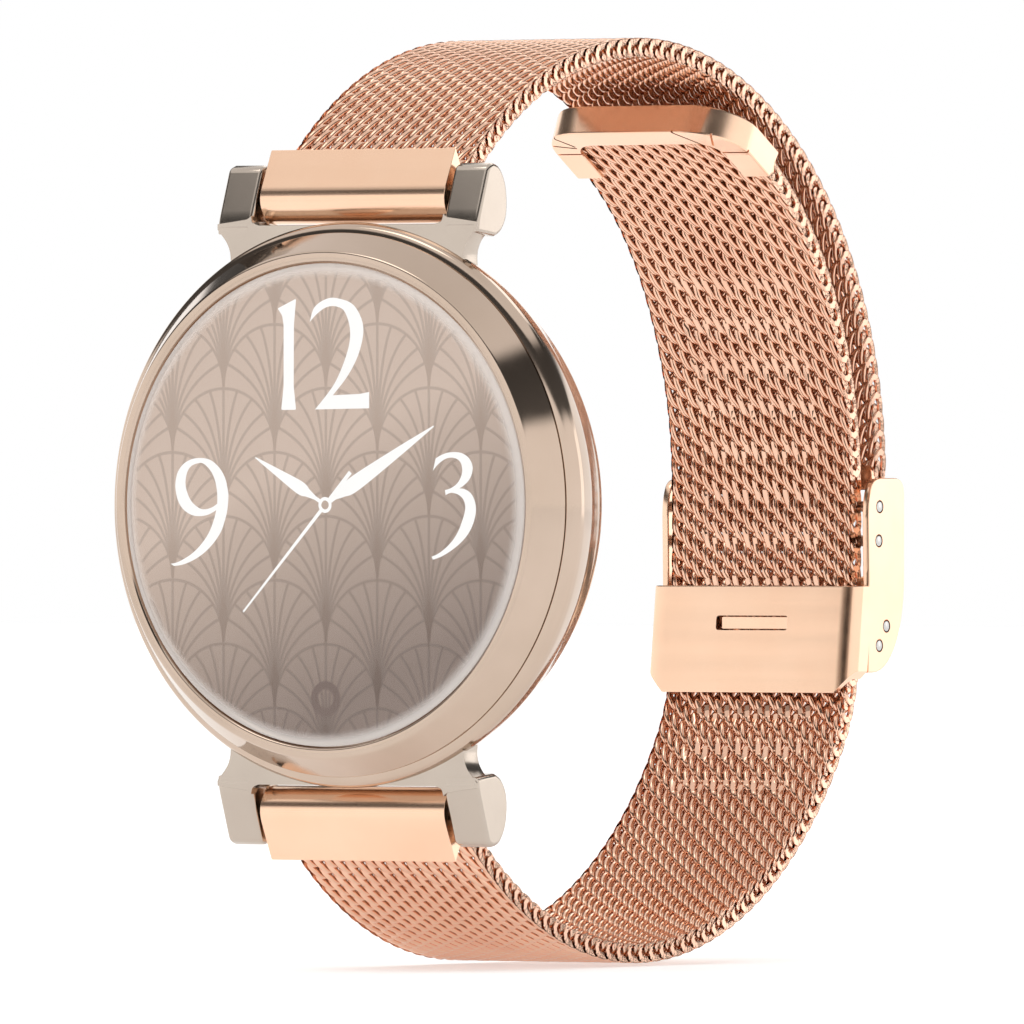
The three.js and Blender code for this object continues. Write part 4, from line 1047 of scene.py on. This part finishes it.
def cap_seam(x1, d1, x2, d2):
    """A thin cutter along a fold line in the cap's lip, given across and back from the tip."""
    tip = BOTTOM_ROUTE.length + CAP_OVERHANG
    a, b = np.array([x1, d1]), np.array([x2, d2])
    side = (b - a) / np.linalg.norm(b - a)
    across = np.array([-side[1], side[0]]) * 0.07
    corners = [a - across, b - across, b + across, a + across]
    verts = []
    for height in (-CAP_THICKNESS, -CAP_THICKNESS / 2 + 0.18):
        verts += [(c[0], c[1] + tip, height) for c in corners]
    return mesh_from((BOTTOM_ROUTE.place(*np.array(verts).T), swept_faces(2, 4)), "seam")


def build_cap():
    """A folded U-shaped channel that follows the rim of the tail."""
    tip = BOTTOM_ROUTE.length + CAP_OVERHANG
    rail = np.array(cap_rail())
    direction = np.gradient(rail, axis=0)
    direction /= np.linalg.norm(direction, axis=1)[:, None]
    inward = np.column_stack([-direction[:, 1], direction[:, 0]])
    half = CAP_THICKNESS / 2
    section = rounded([(CAP_LIP, half), (0, half), (0, -half), (CAP_LIP, -half),
                       (CAP_LIP, -half + 0.3), (0.35, -half + 0.3), (0.35, half - 0.3),
                       (CAP_LIP, half - 0.3)], 0.14, 3)
    verts = []
    for point, side in zip(rail, inward):
        for depth, height in section:
            spot = point + side * depth
            verts.append((spot[0], tip + spot[1], height))
    cap = mesh_from((BOTTOM_ROUTE.place(*np.array(verts).T), swept_faces(len(rail), len(section))), "cap")
    seams = [cap_seam(*line) for line in CAP_SEAMS]
    finish_piece("tail_tip_cap", combined("cap", cap, seams), ROSE_METAL, "bottom_strap",
                 ["band_tip_cap"], 32)


# ---------------- clasp

SHEET = 0.5
CLASP_BEND = 1.35
CLASP_HALF = CLASP_HIGH[0]
TAIL_OUTER_Y = TOP_CENTRE[0] + TAIL_RADIUS + BAND_THICKNESS / 2
PLATE_TOP = np.array([TAIL_OUTER_Y - BAND_THICKNESS - 0.375, -5.2])
PLATE_LEAN = 0.8
PLATE_BOTTOM = np.array([PLATE_TOP[0] - PLATE_LEAN, -12.1])
SLOT_HALF = 0.475
PIN_BORE = 0.43
WALL_OUTER_Y = CLASP_HIGH[1]
WALL_TOP_Z = CLASP_HIGH[2]
WALL_BOTTOM_Z = -10.8


def pin_centre(name):
    low, high = node_box(name)
    return ((low[1] + high[1]) / 2, (low[2] + high[2]) / 2)


def wall_outline():
    """The side view of a clasp wall: straight behind the plate, rounded away at both ends."""
    hook_y = pin_centre("clasp_hook_pin")[0]
    outer = WALL_OUTER_Y + 0.25
    roll_y = PLATE_TOP[0] + CLASP_BEND
    front = rounded([(roll_y - 0.1, WALL_BOTTOM_Z), (roll_y, PLATE_TOP[1]),
                     (hook_y - 1.35, WALL_TOP_Z - 1.5), (hook_y - 0.75, WALL_TOP_Z),
                     (outer, WALL_TOP_Z), (outer, -4.6)], 1.1, 8, False)
    back = bezier((outer, -4.6), (outer, WALL_BOTTOM_Z + 2.6), (outer - 1.6, WALL_BOTTOM_Z),
                  (roll_y + 0.5, WALL_BOTTOM_Z))
    return [*front, *back[1:]]


def channel_mesh():
    """The wrist-side plate with its long edges rolled into the two walls."""
    depth = CLASP_BEND + 0.4
    outer = rounded([(-CLASP_HALF, depth), (-CLASP_HALF, 0), (CLASP_HALF, 0), (CLASP_HALF, depth)],
                    CLASP_BEND, 10, False)
    inner = rounded([(CLASP_HALF - SHEET, depth), (CLASP_HALF - SHEET, SHEET),
                     (-CLASP_HALF + SHEET, SHEET), (-CLASP_HALF + SHEET, depth)],
                    CLASP_BEND - SHEET, 8, False)
    section = [*outer, *inner]
    lean = PLATE_BOTTOM - PLATE_TOP

    def lay(outline, share):
        base = PLATE_TOP + lean * share
        return [(p[0], base[0] + p[1], base[1]) for p in outline]

    return prism(section, 0, 1, lay, 0.08, 2)


def corner_tool(side):
    low = PLATE_BOTTOM[1]
    chamfer = 1.4
    outline = [(side * (CLASP_HALF + 1), low - 1), (side * (CLASP_HALF - chamfer - 1), low - 1),
               (side * (CLASP_HALF - chamfer), low), (side * CLASP_HALF, low + chamfer),
               (side * (CLASP_HALF + 1), low + chamfer + 1)]
    return prism(outline, PLATE_BOTTOM[0] - 1, PLATE_TOP[0] + 1.2, along_y)


def build_clasp():
    """The channel with its slot, the plate in the slot and the four pins."""
    walls = [prism(wall_outline(), low, low + SHEET, along_x, 0.1, 2)
             for low in (-CLASP_HALF, CLASP_HALF - SHEET)]
    slot_z = (PLATE_TOP[1] + pin_centre("clasp_guide_pin")[1]) / 2 - SLOT_HALF
    slot = rounded(rectangle(-2.75, 2.75, slot_z, SLOT_HALF), 0.2, 3)
    tools = [prism(slot, PLATE_BOTTOM[0] - 1, PLATE_TOP[0] + 1.0, along_y), corner_tool(1), corner_tool(-1)]
    tools += [rod(-CLASP_HALF - 1, CLASP_HALF + 1, pin_centre(name), PIN_BORE) for name in CLASP_PINS]
    body = combined("clasp", combined("clasp", channel_mesh(), walls, "UNION"), tools)
    finish_piece("clasp_channel", body, ROSE_METAL, "clasp", ["clasp_body"], 30)
    share = (PLATE_TOP[1] - slot_z) / (PLATE_TOP[1] - PLATE_BOTTOM[1])
    slide_y = PLATE_TOP[0] - PLATE_LEAN * share + 0.22
    plate = rounded(rectangle(-2.45, 2.7, slot_z, 0.4), 0.1, 2)
    slide = prism(plate, slide_y, slide_y + 0.25, along_y, 0.04, 2)
    finish_piece("clasp_slide_plate", slide, ROSE_METAL, "clasp", (), 30)
    for name in CLASP_PINS:
        pin = rod(-CLASP_HALF - 0.02, CLASP_HALF + 0.02, pin_centre(name), 0.36, 0.1)
        finish_piece(f"{name}_rod", pin, STEEL, "clasp", [name])


def build_lid():
    """The folding cover: a rolled knuckle, a crowned plate and a lip for a finger nail."""
    pin_y, pin_z = pin_centre("clasp_lid_pin")
    half = LID_HIGH[0]
    outer = WALL_OUTER_Y - 0.3
    inner = outer - 0.6
    top = LID_HIGH[2]
    outline = [(pin_y + 0.3, pin_z - 0.9), (pin_y + 1.0, pin_z - 0.1), (outer, pin_z + 0.8),
               (outer, top - 0.5), (outer + 0.35, top), (inner + 0.35, top), (inner, top - 0.5),
               (inner, pin_z + 0.95), (pin_y - 0.3, pin_z + 0.9)]
    for degrees in range(120, 250, 10):
        turn = math.radians(degrees)
        outline.append((pin_y + 0.95 * math.cos(turn), pin_z + 0.95 * math.sin(turn)))
    plate = prism(rounded(outline, 0.15, 3), -half, half, along_x, 0.12, 3)
    bore = rod(-half - 1, half + 1, (pin_y, pin_z), 0.455)
    finish_piece("folding_lid", combined("lid", plate, [bore]), ROSE_METAL, "lid", ["clasp_lid"], 30)


def build_hook():
    """The folded end plate of the outer strap, which hooks round the clasp's upper pin."""
    end = TOP_ROUTE.length
    hook_y, hook_z = pin_centre("clasp_hook_pin")
    inner = hook_y + PIN_RADIUS + 0.25
    low = hook_z - 1.1
    outline = rounded([(inner + 0.15, 1.5), (inner, hook_z), (inner - 0.2, low + 0.3), (inner - 0.2, low),
                       (inner + 0.45, low), (inner + 0.6, 1.5)], 0.1, 3)
    plate = prism_mesh(outline, -4.5, 4.5, along_x, 0.08, 2)
    block = route_prism(TOP_ROUTE, end - 0.4, end + 1.2, 1.5, HALF_STRAP - 0.4, 12)
    finish_piece("strap_end_hook", mesh_of("hook", [block, plate]), ROSE_METAL, "top_strap",
                 ["top_hook_link"], 30)


# ---------------- carried-over CAD pieces

KEPT = (
    (BLACK, ("lens_gasket", "back_seal")),
    (BOARD, ("main_board", "sensor_board")),
    (STEEL, ("display_bracket", "battery", "haptic_motor")),
    (STEEL, ("top_bar_tube", "top_bar_fixed_pin", "top_bar_spring", "top_release_pin")),
    (STEEL, ("bottom_bar_tube", "bottom_bar_fixed_pin", "bottom_bar_spring", "bottom_release_pin")),
)


def finish_kept():
    """Gives the carried-over CAD pieces their materials."""
    for material, names in KEPT:
        for name in names:
            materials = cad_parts[name].data.materials
            materials.clear()
            materials.append(material)


# ---------------- floor and light

WORLD_BANDS = ((0.0, 0.9), (0.44, 0.9), (0.49, 1.25), (0.61, 1.25), (0.64, 0.1), (0.755, 0.07),
               (0.795, 1.0), (1.0, 0.9))
FLOOR_REACH = 3.0
FLOOR_GAP = 0.0002


def add_light(name, kind_size, power, location, target, colour=(1, 1, 1)):
    data = bpy.data.lights.new(name, "AREA")
    data.shape = "RECTANGLE"
    data.size, data.size_y = kind_size
    data.energy = power
    data.color = colour
    light = bpy.data.objects.new(name, data)
    light.location = location
    light.rotation_euler = (Vector(target) - Vector(location)).to_track_quat("-Z", "Y").to_euler()
    bpy.context.collection.objects.link(light)


def studio_world():
    """White to the eye; softly banded bright and dim in what the metal reflects."""
    world = bpy.data.worlds.new("studio")
    bpy.context.scene.world = world
    world.use_nodes = True
    world.node_tree.nodes.clear()
    nodes = Nodes(world.node_tree)
    towards = nodes.add("ShaderNodeTexCoord").outputs["Generated"]
    parts = nodes.add("ShaderNodeSeparateXYZ", {0: towards})
    rightward = nodes.maths("MAXIMUM", parts.outputs["X"], 0.0)
    share = nodes.maths("MULTIPLY_ADD", rightward, -0.55, 1.0)
    scaled = nodes.maths("MULTIPLY", parts.outputs["Z"], share)
    height = nodes.add("ShaderNodeMapRange", {"Value": scaled, "From Min": -1}).outputs["Result"]
    stops = [(at, (level, level * 0.985, level * 0.97)) for at, level in WORLD_BANDS]
    mirrored = nodes.add("ShaderNodeBackground", {"Color": nodes.ramp(height, stops, "EASE")})
    seen = nodes.add("ShaderNodeBackground", {"Color": (1, 1, 1, 1)})
    by_eye = nodes.add("ShaderNodeLightPath").outputs["Is Camera Ray"]
    out = nodes.add("ShaderNodeOutputWorld")
    nodes.feed(out.inputs["Surface"], nodes.mixed(by_eye, mirrored, seen).outputs[0])


def pale_floor():
    surface = Surface("pale_floor")
    tone = surface.ramp(surface.noise(40), [(0.3, (0.93, 0.93, 0.93)), (0.8, (0.90, 0.90, 0.90))])
    surface.set(Base_Color=tone, Emission_Color=tone, Emission_Strength=0.5, Roughness=0.7)
    return surface.material


def add_floor():
    low = cad_bounds[0][2] - FLOOR_GAP
    corners = ((-1, -1), (1, -1), (1, 1), (-1, 1))
    mesh = bpy.data.meshes.new("floor")
    mesh.from_pydata([(x * FLOOR_REACH, y * FLOOR_REACH, low) for x, y in corners], [], [[0, 1, 2, 3]])
    mesh.materials.append(pale_floor())
    floor = bpy.data.objects.new("floor", mesh)
    bpy.context.collection.objects.link(floor)


def add_studio():
    studio_world()
    add_floor()
    add_light("key", (0.2, 0.2), 0.25, (-0.15, -0.2, 0.5), (0, 0, 0), (1, 0.98, 0.95))
    add_light("side", (0.25, 0.3), 0.15, (0.35, 0.52, 0.05), (0, 0.01, 0))
    add_light("rear", (0.4, 0.2), 0.25, (-0.1, 0.4, 0.35), (0, 0.02, 0))
    bpy.context.scene.view_settings.view_transform = "Standard"


# ---------------- build

add_camera()
add_studio()
build_head()
build_dial()
build_back()
build_bands()
add_end_link(1, "top", "top_strap", TOP_ROUTE)
add_end_link(-1, "bottom", "bottom_strap", BOTTOM_ROUTE)
build_cap()
build_clasp()
build_lid()
build_hook()
finish_kept()
